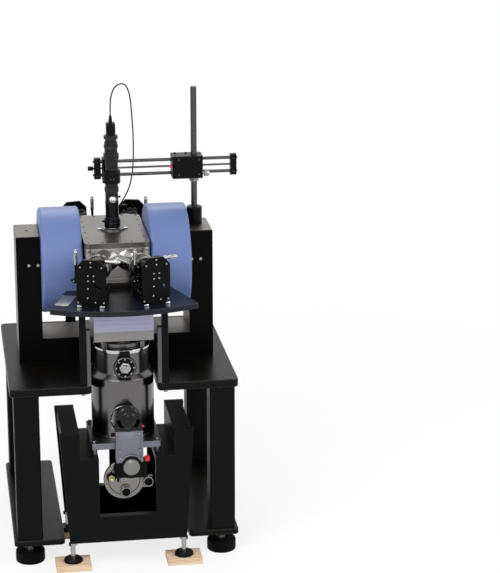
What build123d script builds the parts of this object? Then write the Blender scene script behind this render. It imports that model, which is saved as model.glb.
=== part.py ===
# Cryogenic wafer probe station: an electromagnet on its table, a vacuum chamber in the
# magnet's gap with four micromanipulated probe arms, a dewar on its own stand in front,
# and a boom microscope with a camera.
# Frame: X to the operator's right, Y away from the operator, Z up, floor at z = 0.
from build123d import *
import math
import os

os.makedirs("parts", exist_ok=True)

# Magnet table
table_width = 650
table_depth = 636
table_top_z = 535
table_thick = 24
table_corner_r = 14
table_edge = 2
slot_half_width = 94
slot_depth = 200
slot_corner_r = 24
mount_hole_r = 3.3
mount_hole_x = 285
mount_hole_y = 292
column_side = 72
column_inset = 10
column_edge = 3
base_plate_width = 145
base_plate_thick = 18
base_plate_z = 58
base_corner_r = 12
base_edge = 2
puck_r = 42
puck_height = 34
puck_edge_r = 4
puck_stud_r = 8
puck_nut_r = 15
puck_nut_thick = 9

# Electromagnet
yoke_half_width = 285
yoke_upright_width = 70
yoke_depth = 150
yoke_beam_height = 70
yoke_top_z = 912
yoke_edge = 2
lift_hole_r = 5
lift_hole_deep = 24
pole_axis_z = 823
coil_r = 153
coil_face_x = 98
coil_bore_r = 62
coil_wall = 3
coil_edge_r = 8
pole_r = 60
pole_tip_r = 40
pole_taper = 26
fit_gap = 0.3
shaft_gap = 0.03

# Chamber
chamber_half_x = 94
chamber_half_y = 163
chamber_wall = 12
chamber_floor_z = 790
chamber_seam_z = 892
lid_thick = 16
window_r = 25
window_thick = 6
window_ring_r = 37
window_ring_thick = 4
chuck_low_z = 837
chuck_top_z = 845
chamber_corner_r = 18
window_seat = 4
pedestal_half_x = 62
pedestal_half_y = 140
pedestal_low_z = 667
pedestal_stem_inset = 14
pedestal_stem_half_y = 67
chuck_r = 30
chuck_stem_r = 16

# Probe arms
arm_angle = 15
arm_z = 856
port_r = 33
port_bore_r = 25
port_end = 238
port_flange_r = 37
port_flange_thick = 12
bellows_r = 30
bellows_wall = 2
bellows_end = 270
bellows_folds = 5
bellows_fold_deep = 6
arm_rod_r = 5

# Decks that carry the manipulators
deck_top_z = 774
deck_thick = 15
deck_side_half = 150
deck_front_half = 208
deck_corner_y = 342
deck_arc_r = 450
deck_inner_y = 168
deck_corner_r = 5
leg_x = 116
leg_y = 306
leg_width = 18
leg_depth = 24
guide_width = 13
guide_drop = 60

# Manipulators, measured outwards from the chamber's centre
plate_r = 352
plate_thick = 8
plate_width = 82
plate_height = 136
plate_cut = 20
plate_slot_r = 3.2
plate_slot_len = 22
plate_slot_x = 17
plate_slot_z = 832
plate_slot_turn = -38
base_in_r = 248
base_width = 64
base_height = 16
lug_inset = 6
lug_thick = 8
lug_height = 12
stage_gap = 0.3
y_stage_len = 92
y_stage_width = 58
y_stage_height = 20
x_stage_len = 40
x_stage_width = 60
x_stage_height = 18
z_post_thick = 20
z_post_width = 44
post_thick = 14
thimble_r = 5.5
thimble_len = 43
thimble_end = 8
sleeve_r = 4
x_travel = 6
y_travel = 6
z_travel = 6
z_travel_down = 3
tip_r = 24
tip_len = 40
tip_drop = 6
arm_hub_r = 16
arm_flange_thick = 8
rail_groove = 1.2
thimble_side = 49

# Dewar and its stand
dewar_y = -232
dewar_low_r = 90
dewar_up_r = 79
dewar_bottom_z = 366
dewar_shoulder_z = 548
dewar_top_z = 634
dewar_wall = 4
dewar_shoulder_rise = 12
dewar_port_z = 590
dewar_port_r = 22
dewar_port_len = 14
dewar_port_flange_r = 30
dewar_port_flange_thick = 8
head_disc_thick = 14
head_disc_inset = 12
head_neck_r = 44
clamp_count = 4
clamp_height = 18
mount_side = 200
mount_thick = 18
mount_corner_r = 6
standoff_r = 8
standoff_inset_x = 10
standoff_inset_y = 14
stand_front_y = -356
stand_rear_y = -96
stand_plate = 22
stand_half_top = 190
stand_half_low = 168
stand_top_z = 405
stand_ledge_z = 330
stand_low_z = 75
arm_inner_x = 134
u_half = 81
u_floor_z = 153
stand_foot_x = 160
pad_side = 100
pad_depth = 74
pad_thick = 18
hub_r = 42
hub_low_z = 226
shroud_half = 84
shroud_front_y = -316
shroud_rear_y = -152
shroud_low_z = 664
shroud_rib = 4
shroud_rows = 7
shroud_groove = 3

# Valve in front of the dewar, and the flange with connectors under it
valve_port_z = 452
valve_stub_r = 20
valve_flange_r = 35
valve_flange_thick = 8
valve_back_y = -338
valve_front_y = -362
valve_left_x = -33
valve_right_x = 49
valve_housing_width = 75
valve_housing_low_z = 408
valve_housing_high_z = 480
valve_housing_edge = 5
valve_block_low_z = 316
valve_drum_x = 16
valve_drum_z = 301
valve_drum_r = 35
valve_knob_z = 322
valve_knob_r = 8
valve_knob_len = 14
feed_x = -8
feed_z = 264
feed_r = 56
feed_thick = 12
feed_face_y = -330
feed_tube_r = 26
connector_r = 14
connector_len = 18
connector_spots = ((5, -30), (40, -14))
fitting_r = 9
fitting_len = 22
fitting_spot = (-26, 8)

# Microscope boom
post_inset = 42
post_y = 14
post_r = 9
post_top_z = 1320
post_base_r = 22.5
post_base_height = 52
rod_y = 38
rod_r = 5
rod_high_z = 1101
rod_low_z = 1061
screw_r = 3
rod_left_x = -47
rod_right_reach = 128
bracket_thick = 19
bracket_edge = 11
screw_knob_r = 6.5
screw_knob_len = 15
collar_height = 11
collar_r = 14
clamp_knob_r = 10
clamp_knob_len = 20
clamp_left_reach = 65
clamp_right_reach = 24
clamp_low_z = 1052
clamp_high_z = 1118
tube_r = 19
tube_bore_gap = 0.05
ring_light_r = 23.5
ring_light_height = 22
ring_light_recess_r = 14
carriage_ring_wall = 7
carriage_height = 36
zoom_ring_low_z = 1118
zoom_ring_height = 16
zoom_ring_r = 22.5
side_lens_z = 1003
side_lens_r = 9
side_lens_len = 14
scope_low_z = 916
scope_high_z = 1158
camera_side = 26
camera_low_z = 1188
camera_high_z = 1222
boot_high_z = 1244

# Camera cable: its route, diameter and the coil of the length that is put away
cable_r = 2
cable_arc_share = 0.45
coil_x = 0
coil_y = 308
coil_mean_r = 23
coil_half_width = 4
coil_height = 12
plug_r = 6
plug_back_x = 12
cable_route = [
    (0, 0, 1244), (0, 0, 1274), (3, 2, 1302), (13, 6, 1325), (30, 12, 1336), (46, 19, 1326), (55, 26, 1304),
    (57, 31, 1276), (58, 40, 1244), (61, 53, 1196), (64, 63, 1146), (65, 70, 1096), (63, 80, 1046),
    (58, 98, 1004), (48, 126, 968), (35, 156, 938), (21, 186, 904), (10, 214, 868), (5, 238, 832),
    (6, 262, 804), (10, 288, 787),
]

# Places that follow from the sizes above
foot_front_y = stand_front_y + stand_plate / 2
foot_rear_y = stand_rear_y - stand_plate / 2
column_x = table_width / 2 - column_inset - column_side / 2
post_x = yoke_half_width - post_inset
clamp_left_x = post_x - clamp_left_reach
clamp_right_x = post_x + clamp_right_reach
rod_right_x = post_x + rod_right_reach
column_y = table_depth / 2 - column_inset - column_side / 2 + 4
base_top_z = base_plate_z + base_plate_thick
upright_inner_x = yoke_half_width - yoke_upright_width
deck_under_z = deck_top_z - deck_thick
lid_top_z = chamber_seam_z + lid_thick
screw_z = (rod_low_z + rod_high_z) / 2
collar_low_z = clamp_low_z - collar_height
base_top = deck_top_z + base_height
y_low = base_top + stage_gap
y_high = y_low + y_stage_height
x_low = y_high + stage_gap
x_high = x_low + x_stage_height
y_out = -plate_r + plate_thick + lug_thick + y_travel + 3
x_out = y_out + 4
post_half = z_post_width / 2
post_mid_y = x_out + 2 + post_thick / 2
x_screw_z = arm_z + 40
z_thimble_z = arm_z + 30

parts = {}


def box(x0, x1, y0, y1, z0, z1):
    middle = ((x0 + x1) / 2, (y0 + y1) / 2, (z0 + z1) / 2)
    return Pos(*middle) * Box(x1 - x0, y1 - y0, z1 - z0)


def rod(start, end, radius):
    way = Vector(*end) - Vector(*start)
    place = Plane(origin=start, z_dir=way)
    return place * Cylinder(radius, way.length, align=(Align.CENTER, Align.CENTER, Align.MIN))


def post_at(x, y, z0, z1, radius):
    return rod((x, y, z0), (x, y, z1), radius)


def upright_edges(solid, tall):
    return [e for e in solid.edges().filter_by(Axis.Z) if abs(e.length - tall) < 0.01]


def rim_edges(solid, low, high):
    return [e for e in solid.edges() if min(abs(e.center().Z - low), abs(e.center().Z - high)) < 0.01]


def add(name, *solids):
    found = []
    for solid in solids:
        found.extend(solid.solids())
    parts[name] = found


def both_sides(solid):
    return [solid, mirror(solid, about=Plane.YZ)]


def four_corners(solid):
    near = both_sides(solid)
    return near + [mirror(s, about=Plane.XZ) for s in near]


# Table, columns, sled plates and rubber feet

def make_table():
    half_x = table_width / 2
    half_y = table_depth / 2
    under = table_top_z - table_thick
    top = box(-half_x, half_x, -half_y, half_y, under, table_top_z)
    slot = box(-slot_half_width, slot_half_width, -half_y - 1, slot_depth - half_y, under - 1, table_top_z + 1)
    top = top - slot
    inner = [e for e in upright_edges(top, table_thick) if abs(e.center().Y) < half_y - 1]
    top = fillet(inner, slot_corner_r)
    outer = [e for e in upright_edges(top, table_thick) if abs(e.center().Y) > half_y - 1]
    top = fillet(outer, table_corner_r)
    top = chamfer(rim_edges(top, under, table_top_z), table_edge)
    for x, y in mount_holes():
        top = top - post_at(x, y, under - 1, table_top_z + 1, mount_hole_r)
    return top


def mount_holes():
    return [(sx * mount_hole_x, sy * mount_hole_y) for sx in (-1, 1) for sy in (-1, 1)]


def make_column():
    half = column_side / 2
    shaft = box(column_x - half, column_x + half, column_y - half, column_y + half,
                base_top_z, table_top_z - table_thick)
    tall = table_top_z - table_thick - base_top_z
    return chamfer(upright_edges(shaft, tall), column_edge)


def make_base_plate():
    half_x = table_width / 2
    half_y = table_depth / 2
    plate = box(half_x - base_plate_width, half_x, -half_y, half_y, base_plate_z, base_top_z)
    plate = fillet(upright_edges(plate, base_plate_thick), base_corner_r)
    return chamfer(rim_edges(plate, base_plate_z, base_top_z), base_edge)


def make_foot():
    puck = post_at(column_x, column_y, 0, puck_height, puck_r)
    puck = fillet(puck.edges().filter_by(GeomType.CIRCLE), puck_edge_r)
    stud = post_at(column_x, column_y, puck_height - 1, base_plate_z, puck_stud_r)
    place = Plane(origin=(column_x, column_y, puck_height))
    nut = place * extrude(RegularPolygon(puck_nut_r, 6), puck_nut_thick)
    return puck + stud + nut


add("table_top", make_table())
add("table_columns", *four_corners(make_column()))
add("table_sled_plates", *both_sides(make_base_plate()))
add("rubber_feet", *four_corners(make_foot()))


# Magnet yoke, coils and poles


def make_beam():
    half = yoke_depth / 2
    beam = box(-upright_inner_x, upright_inner_x, -half, half, table_top_z, table_top_z + yoke_beam_height)
    return beam


def make_upright():
    half = yoke_depth / 2
    block = box(upright_inner_x, yoke_half_width, -half, half, table_top_z, yoke_top_z)
    return chamfer(block.edges().group_by(Axis.Z)[-1], yoke_edge)


def make_left_upright():
    block = mirror(make_upright(), about=Plane.YZ)
    x = -(upright_inner_x + yoke_upright_width / 2)
    return block - post_at(x, 0, yoke_top_z - lift_hole_deep, yoke_top_z + 1, lift_hole_r)


def make_coil_can():
    length = upright_inner_x - coil_face_x
    can = rod((coil_face_x, 0, pole_axis_z), (upright_inner_x, 0, pole_axis_z), coil_r)
    rims = [e for e in can.edges().filter_by(GeomType.CIRCLE) if e.radius > coil_r - 1]
    can = fillet(rims, coil_edge_r)
    can = can - rod((coil_face_x - 1, 0, pole_axis_z), (upright_inner_x + 1, 0, pole_axis_z), coil_bore_r)
    inner = rod((coil_face_x + coil_wall, 0, pole_axis_z),
                (coil_face_x + length - coil_wall, 0, pole_axis_z), coil_r - coil_wall)
    core = rod((coil_face_x, 0, pole_axis_z), (upright_inner_x, 0, pole_axis_z), coil_bore_r + coil_wall)
    return can - (inner - core)


def make_winding():
    near = coil_face_x + coil_wall + fit_gap
    far = upright_inner_x - coil_wall - fit_gap
    pack = rod((near, 0, pole_axis_z), (far, 0, pole_axis_z), coil_r - coil_wall - 2)
    return pack - rod((near - 1, 0, pole_axis_z), (far + 1, 0, pole_axis_z), coil_bore_r + coil_wall + fit_gap)


def make_pole():
    shank = rod((coil_face_x + pole_taper, 0, pole_axis_z), (upright_inner_x, 0, pole_axis_z), pole_r)
    tip = Plane(origin=(coil_face_x + pole_taper, 0, pole_axis_z), z_dir=(-1, 0, 0))
    cone = tip * Cone(pole_r, pole_tip_r, pole_taper, align=(Align.CENTER, Align.CENTER, Align.MIN))
    return shank + cone


add("magnet_yoke", make_beam(), make_upright(), make_left_upright())
add("coil_cans", *both_sides(make_coil_can()))
add("coil_windings", *both_sides(make_winding()))
add("pole_pieces", *both_sides(make_pole()))


# Decks and their legs

def deck_outline():
    sagitta = deck_arc_r - math.sqrt(deck_arc_r ** 2 - deck_front_half ** 2)
    with BuildSketch() as sketch:
        with BuildLine():
            Polyline((-deck_front_half, -deck_corner_y), (-deck_side_half, -deck_inner_y),
                     (deck_side_half, -deck_inner_y), (deck_front_half, -deck_corner_y))
            ThreePointArc((deck_front_half, -deck_corner_y), (0, -deck_corner_y - sagitta),
                          (-deck_front_half, -deck_corner_y))
        make_face()
    return sketch.sketch


def make_deck():
    plate = Pos(0, 0, deck_under_z) * extrude(deck_outline(), deck_thick)
    return fillet(upright_edges(plate, deck_thick), deck_corner_r)


def make_leg():
    leg = box(leg_x - leg_width / 2, leg_x + leg_width / 2, leg_y - leg_depth / 2, leg_y + leg_depth / 2,
              table_top_z, deck_under_z)
    return chamfer(upright_edges(leg, deck_under_z - table_top_z), 2)


def make_guide():
    near = leg_x - leg_width / 2 - guide_width
    low = table_top_z
    high = deck_under_z - guide_drop
    bar = box(near, near + guide_width, leg_y - leg_depth / 2, leg_y + leg_depth / 2, low, high)
    return fillet(upright_edges(bar, high - low), 4)


front_deck = make_deck()
add("deck_plates", front_deck, mirror(front_deck, about=Plane.XZ))
add("deck_legs", *four_corners(make_leg()), *four_corners(make_guide()))


# Vacuum chamber with its ports, lid and window

arm_ways = {
    "front_left": -arm_angle,
    "front_right": arm_angle,
    "rear_right": 180 - arm_angle,
    "rear_left": 180 + arm_angle,
}


def turned(solid, way):
    return Rot(0, 0, way) * solid


def chamber_block(low, high):
    block = box(-chamber_half_x, chamber_half_x, -chamber_half_y, chamber_half_y, low, high)
    return fillet(upright_edges(block, high - low), chamber_corner_r)


def make_chamber_floor():
    return chamber_block(chamber_floor_z, chamber_floor_z + chamber_wall)


def make_chamber_walls():
    low = chamber_floor_z + chamber_wall
    walls = chamber_block(low, chamber_seam_z)
    walls = walls - box(-chamber_half_x + chamber_wall, chamber_half_x - chamber_wall,
                        -chamber_half_y + chamber_wall, chamber_half_y - chamber_wall, low - 1, chamber_seam_z + 1)
    for way in arm_ways.values():
        walls = walls - turned(rod((0, -120, arm_z), (0, -220, arm_z), port_bore_r), way)
    return walls


def make_pedestal():
    block = box(-pedestal_half_x, pedestal_half_x, -pedestal_half_y, pedestal_half_y, pedestal_low_z,
                chamber_floor_z)
    stem_half_x = pedestal_half_x - pedestal_stem_inset
    stem = box(-stem_half_x, stem_half_x, -pedestal_stem_half_y, pedestal_stem_half_y,
               table_top_z + yoke_beam_height, pedestal_low_z)
    return block + stem


def make_lid():
    lid = chamber_block(chamber_seam_z, lid_top_z)
    lid = lid - post_at(0, 0, chamber_seam_z - 1, lid_top_z + 1, window_r - window_seat)
    return lid - post_at(0, 0, lid_top_z - window_thick, lid_top_z + 1, window_r)


def make_window_ring():
    ring = post_at(0, 0, lid_top_z, lid_top_z + window_ring_thick, window_ring_r)
    return ring - post_at(0, 0, lid_top_z - 1, lid_top_z + window_ring_thick + 1, window_r - window_seat - 1)


def make_window():
    return post_at(0, 0, lid_top_z - window_thick, lid_top_z, window_r - fit_gap)


def make_port(way):
    tube = rod((0, -chamber_half_y + chamber_wall, arm_z), (0, -port_end, arm_z), port_r)
    flange = rod((0, -port_end + port_flange_thick, arm_z), (0, -port_end, arm_z), port_flange_r)
    bore = rod((0, -port_bore_r, arm_z), (0, -port_end - 1, arm_z), port_bore_r)
    return turned(tube + flange - bore, way) - chamber_block(chamber_floor_z, chamber_seam_z)


def make_bellows():
    pitch = (bellows_end - port_end) / bellows_folds
    with BuildSketch(Plane.YZ) as sketch:
        with BuildLine():
            root = arm_z + bellows_r - bellows_fold_deep
            points = [(-port_end, root)]
            for fold in range(bellows_folds):
                near = -port_end - fold * pitch
                points.append((near - pitch / 2, arm_z + bellows_r))
                points.append((near - pitch, root))
            back = [(y, z - bellows_wall) for y, z in reversed(points)]
            Polyline(*points, *back, close=True)
        make_face()
    axis = Axis((0, 0, arm_z), (0, 1, 0))
    return revolve(sketch.sketch, axis, 360)


def make_sample_stage():
    low = chamber_floor_z + chamber_wall
    stem = post_at(0, 0, low, chuck_low_z, chuck_stem_r)
    chuck = post_at(0, 0, chuck_low_z, chuck_top_z, chuck_r)
    return stem + fillet(chuck.edges().filter_by(GeomType.CIRCLE), 1)


add("chamber_body", make_chamber_floor(), make_chamber_walls(), *[make_port(way) for way in arm_ways.values()])
add("chamber_pedestal", make_pedestal())
add("chamber_lid", make_lid(), make_window_ring())
add("window_glass", make_window())
add("probe_bellows", *[turned(make_bellows(), way) for way in arm_ways.values()])
add("sample_stage", make_sample_stage())


# Manipulators: base, cross slides, vertical slide with its arm, and micrometers

def plate_outline():
    with BuildSketch(Plane.XZ.offset(plate_r - plate_thick)) as sketch:
        with Locations((0, deck_top_z + plate_height / 2)):
            Rectangle(plate_width, plate_height)
        chamfer(sketch.vertices().group_by(Axis.Z)[-1], plate_cut)
        with Locations((plate_slot_x, plate_slot_z)):
            SlotCenterToCenter(plate_slot_len, 2 * plate_slot_r, rotation=plate_slot_turn, mode=Mode.SUBTRACT)
    return sketch.sketch


def make_manipulator_base():
    inner_face = -plate_r + plate_thick
    foot = box(-base_width / 2, base_width / 2, inner_face, -base_in_r, deck_top_z, base_top)
    plate = extrude(plate_outline(), plate_thick)
    lug_half = base_width / 2 - lug_inset
    lug = box(-lug_half, lug_half, inner_face, inner_face + lug_thick, base_top, base_top + lug_height)
    return [foot, plate, chamfer(lug.edges().group_by(Axis.Z)[-1], 1)]


def make_y_stage():
    block = box(-y_stage_width / 2, y_stage_width / 2, y_out, y_out + y_stage_len, y_low, y_high)
    groove = box(-7, 7, y_out - 1, y_out + y_stage_len + 1, y_low - 1, y_low + 5)
    block = chamfer(block.edges().group_by(Axis.Z)[-1], 1)
    for side in (-1, 1):
        edge = side * y_stage_width / 2
        block = block - box(edge - rail_groove, edge + rail_groove, y_out - 1, y_out + y_stage_len + 1,
                            y_low + 8.5, y_low + 11.5)
    return block - groove


def make_x_stage():
    half = x_stage_width / 2
    block = box(-half, half, x_out, x_out + x_stage_len, x_low, x_high)
    column = box(-post_half, post_half, x_out + 2, x_out + 2 + post_thick, x_high, x_screw_z - 6)
    ear = box(-thimble_side - 6, -post_half, post_mid_y - 5, post_mid_y + 5, arm_z - 16, arm_z - 6)
    barrel = post_at(-thimble_side, post_mid_y, arm_z - 6, z_thimble_z + 20, sleeve_r)
    shelf = box(post_half - 12, post_half + 4, x_out + 2, x_out + 2 + post_thick, x_screw_z - 6, x_screw_z + 6)
    sleeve = rod((post_half + 4, post_mid_y, x_screw_z), (post_half + 30, post_mid_y, x_screw_z), sleeve_r)
    return block + column + ear + barrel + shelf + sleeve


def make_z_arm():
    near = x_out + 2 + post_thick + stage_gap
    slide = box(-post_half, post_half, near, near + z_post_thick, x_high + z_travel_down + 1, arm_z + 30)
    seat_y = -bellows_end - fit_gap
    hub = rod((0, near + z_post_thick, arm_z), (0, seat_y, arm_z), arm_hub_r)
    flange = rod((0, -bellows_end - arm_flange_thick, arm_z), (0, seat_y, arm_z), bellows_r + 3)
    knee = -tip_r - tip_len
    shaft = rod((0, near + z_post_thick - 2, arm_z), (0, knee, arm_z), arm_rod_r)
    bend = Plane(origin=(0, knee, arm_z), z_dir=(0, tip_len, -tip_drop))
    tip = bend * Cone(arm_rod_r - 1, 0.8, tip_len, align=(Align.CENTER, Align.CENTER, Align.MIN))
    return slide + hub + flange + shaft + tip


def make_thimble(start, end, hole_r):
    way = Vector(*end) - Vector(*start)
    unit = way.normalized()
    body = rod(start, end, thimble_r)
    deep = Vector(*start) + unit * (way.length - thimble_end)
    bore = rod(tuple(Vector(*start) - unit), tuple(deep), hole_r)
    return body - bore


def make_z_thimble():
    start = (-thimble_side, post_mid_y, z_thimble_z)
    end = (-thimble_side, post_mid_y, z_thimble_z + thimble_len)
    return make_thimble(start, end, sleeve_r + shaft_gap)


def make_x_thimble():
    x = post_half + 12
    start = (x, post_mid_y, x_screw_z)
    end = (x + thimble_len, post_mid_y, x_screw_z)
    return make_thimble(start, end, sleeve_r + shaft_gap)


bases = [turned(piece, way) for way in arm_ways.values() for piece in make_manipulator_base()]
add("manipulator_bases", *bases)
for place, way in arm_ways.items():
    add(place + "_y_stage", turned(make_y_stage(), way))
    add(place + "_x_stage", turned(make_x_stage(), way))
    add(place + "_arm", turned(make_z_arm(), way))
    add(place + "_x_thimble", turned(make_x_thimble(), way))
    add(place + "_z_thimble", turned(make_z_thimble(), way))


# Dewar, shroud, valve and the stand that carries them

def make_dewar():
    inner_low_r = dewar_low_r - dewar_wall
    inner_up_r = dewar_up_r - dewar_wall
    with BuildSketch(Plane.XZ) as sketch:
        with BuildLine():
            Polyline((0, dewar_bottom_z), (dewar_low_r, dewar_bottom_z), (dewar_low_r, dewar_shoulder_z),
                     (dewar_up_r, dewar_shoulder_z + dewar_shoulder_rise), (dewar_up_r, dewar_top_z),
                     (0, dewar_top_z), (0, dewar_top_z - dewar_wall), (inner_up_r, dewar_top_z - dewar_wall),
                     (inner_up_r, dewar_shoulder_z + dewar_shoulder_rise - dewar_wall),
                     (inner_low_r, dewar_shoulder_z - dewar_wall),
                     (inner_low_r, dewar_bottom_z + dewar_wall), (0, dewar_bottom_z + dewar_wall), close=True)
        make_face()
    shell = revolve(sketch.sketch, Axis.Z, 360)
    face = -dewar_up_r - dewar_port_len
    port = rod((0, -dewar_up_r + dewar_wall / 2, dewar_port_z), (0, face, dewar_port_z), dewar_port_r)
    flange = rod((0, face, dewar_port_z), (0, face - dewar_port_flange_thick, dewar_port_z), dewar_port_flange_r)
    return Pos(0, dewar_y, 0) * (shell + port + flange)


def make_dewar_head():
    disc = post_at(0, dewar_y, dewar_top_z, dewar_top_z + head_disc_thick, dewar_up_r - head_disc_inset)
    head = disc + post_at(0, dewar_y, dewar_top_z + head_disc_thick, shroud_low_z, head_neck_r)
    reach = dewar_up_r - 10
    for step in range(clamp_count):
        turn = 45 + 360 / clamp_count * step
        place = Pos(0, dewar_y, dewar_top_z + clamp_height / 2) * Rot(0, 0, turn) * Pos(reach, 0, 0)
        head = head + place * Box(16, 18, clamp_height)
    return head


def make_mount_plate():
    half = mount_side / 2
    low = dewar_bottom_z - mount_thick
    plate = box(-half, half, dewar_y - half, dewar_y + half, low, dewar_bottom_z)
    pieces = [fillet(upright_edges(plate, mount_thick), mount_corner_r), post_at(0, dewar_y, hub_low_z, low, hub_r)]
    reach_y = half - standoff_inset_y
    for x in (-half + standoff_inset_x, half - standoff_inset_x):
        for y in (dewar_y - reach_y, dewar_y + reach_y):
            pieces.append(post_at(x, y, stand_ledge_z, low, standoff_r))
    return pieces


def stand_outline():
    top = stand_top_z
    with BuildSketch(Plane.XZ) as sketch:
        with BuildLine():
            Polyline((-stand_half_low, stand_low_z), (stand_half_low, stand_low_z), (stand_half_top, top),
                     (arm_inner_x, top), (arm_inner_x, stand_ledge_z), (u_half, stand_ledge_z),
                     (u_half, u_floor_z), (-u_half, u_floor_z), (-u_half, stand_ledge_z),
                     (-arm_inner_x, stand_ledge_z), (-arm_inner_x, top), (-stand_half_top, top), close=True)
        make_face()
    return sketch.sketch


def make_stand_plates():
    front = Pos(0, stand_front_y + stand_plate, 0) * extrude(stand_outline(), stand_plate)
    rear = Pos(0, stand_rear_y, 0) * extrude(stand_outline(), stand_plate)
    return front, rear


def make_stand_side():
    y0 = stand_front_y + stand_plate
    y1 = stand_rear_y - stand_plate
    top_bar = box(arm_inner_x, stand_half_top - 6, y0, y1, stand_top_z - 40, stand_top_z)
    ledge_bar = box(u_half, arm_inner_x, y0, y1, stand_ledge_z - 20, stand_ledge_z)
    web = box(arm_inner_x, arm_inner_x + 14, y0, y1, stand_low_z + 30, stand_top_z - 40)
    base_bar = box(arm_inner_x - 20, stand_half_low - 4, y0, y1, stand_low_z, stand_low_z + 30)
    return top_bar + ledge_bar + web + base_bar


def make_stand_foot(y):
    pad = post_at(stand_foot_x, y, pad_thick, pad_thick + 11, 27)
    pad = chamfer(pad.edges().group_by(Axis.Z)[-1], 4)
    stud = post_at(stand_foot_x, y, pad_thick + 10, stand_low_z, 7)
    nut = Plane(origin=(stand_foot_x, y, stand_low_z - 9)) * extrude(RegularPolygon(12, 6), 9)
    return pad + stud + nut


def make_wood_pad(y):
    half = pad_side / 2
    return box(stand_foot_x - half, stand_foot_x + half, y - pad_depth / 2, y + pad_depth / 2, 0, pad_thick)


def make_shroud():
    body = box(-shroud_half, shroud_half, shroud_front_y, shroud_rear_y, shroud_low_z, deck_under_z)
    step = (deck_under_z - shroud_low_z) / shroud_rows
    for row in range(shroud_rows):
        z = shroud_low_z + step * (row + 0.5)
        body = body - box(-shroud_half - 1, shroud_half + 1, shroud_front_y - 1, shroud_front_y + shroud_rib,
                          z - shroud_groove / 2, z + shroud_groove / 2)
    return body


def make_valve():
    back = valve_back_y
    front = valve_front_y
    barrel = post_at(0, dewar_y, dewar_bottom_z, dewar_shoulder_z, dewar_low_r + 0.01)
    stub = rod((0, dewar_y - dewar_low_r + 3, valve_port_z), (0, back + valve_flange_thick, valve_port_z),
               valve_stub_r) - barrel
    flange = rod((0, back + valve_flange_thick, valve_port_z), (0, back, valve_port_z), valve_flange_r)
    housing = box(valve_left_x, valve_left_x + valve_housing_width, front, back, valve_housing_low_z,
                  valve_housing_high_z)
    housing = chamfer(housing.edges().filter_by(Axis.Y).group_by(Axis.Z)[-1], valve_housing_edge)
    drum = rod((valve_drum_x, back, valve_drum_z), (valve_drum_x, front, valve_drum_z), valve_drum_r)
    block = box(valve_left_x, valve_right_x, front, back, valve_block_low_z, valve_housing_low_z) - drum
    return [stub, flange - barrel, housing, block, drum]


def make_handwheel():
    z = valve_knob_z
    y = (valve_front_y + valve_back_y) / 2
    start = valve_right_x + fit_gap
    hub = rod((start, y, z), (start + valve_knob_len, y, z), valve_knob_r)
    wing = box(start + 4, start + 10, y - 2 * valve_knob_r, y + 2 * valve_knob_r, z - 4, z + 4)
    return hub + fillet(wing.edges().filter_by(Axis.X), 2)


def make_electrical_flange():
    hub = post_at(0, dewar_y, hub_low_z - 1, dewar_bottom_z, hub_r)
    disc_back_y = feed_face_y + feed_thick
    tube = rod((feed_x, dewar_y - 30, feed_z), (feed_x, disc_back_y, feed_z), feed_tube_r) - hub
    disc = rod((feed_x, disc_back_y, feed_z), (feed_x, feed_face_y, feed_z), feed_r)
    pieces = [tube, chamfer(disc.edges().group_by(Axis.Y)[0], 2)]
    for dx, dz in connector_spots:
        x, z = feed_x + dx, feed_z + dz
        pieces.append(rod((x, feed_face_y, z), (x, feed_face_y - connector_len, z), connector_r))
    dx, dz = fitting_spot
    place = Plane(origin=(feed_x + dx, feed_face_y, feed_z + dz), z_dir=(0, -1, 0))
    pieces.append(place * extrude(RegularPolygon(fitting_r, 6), fitting_len))
    return pieces


add("dewar_body", make_dewar())
add("dewar_head", make_dewar_head())
add("dewar_mount_plate", *make_mount_plate())
add("neck_shroud", make_shroud())
add("cryostat_stand", *make_stand_plates(), *both_sides(make_stand_side()))
add("stand_feet", *both_sides(make_stand_foot(foot_front_y)), *both_sides(make_stand_foot(foot_rear_y)))
add("wood_pads", *both_sides(make_wood_pad(foot_front_y)), *both_sides(make_wood_pad(foot_rear_y)))

add("valve_body", *make_valve())
add("valve_handwheel", make_handwheel())
add("electrical_flange", *make_electrical_flange())


# Microscope boom on its post


def make_post():
    base = post_at(post_x, post_y, yoke_top_z, yoke_top_z + post_base_height, post_base_r)
    base = chamfer(base.edges().group_by(Axis.Z)[-1], 2)
    shaft = post_at(post_x, post_y, yoke_top_z + post_base_height, post_top_z, post_r)
    return base + chamfer(shaft.edges().group_by(Axis.Z)[-1], 1.5)


def make_collar():
    ring = post_at(post_x, post_y, collar_low_z, clamp_low_z - 0.05, collar_r)
    return ring - post_at(post_x, post_y, collar_low_z - 1, clamp_low_z, post_r + shaft_gap)


def make_clamp():
    block = box(clamp_left_x, clamp_right_x, post_y - 22, rod_y + 12, clamp_low_z, clamp_high_z)
    block = chamfer(block.edges().filter_by(Axis.Z), 2)
    block = block - post_at(post_x, post_y, clamp_low_z - 1, clamp_high_z + 1, post_r + shaft_gap)
    for z in (rod_low_z, rod_high_z):
        block = block - rod((clamp_left_x - 1, rod_y, z), (clamp_right_x + 1, rod_y, z), rod_r)
    return block - rod((clamp_left_x - 1, rod_y, screw_z), (clamp_right_x + 1, rod_y, screw_z), screw_r + 1)


def make_clamp_knob():
    x = clamp_right_x + fit_gap
    y = post_y - 6
    z = clamp_low_z + 12
    knob = rod((x + 4, y, z), (x + clamp_knob_len, y, z), clamp_knob_r)
    knob = chamfer(knob.edges().group_by(Axis.X)[-1], 1.5)
    return knob + rod((x, y, z), (x + 4, y, z), 5)


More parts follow.
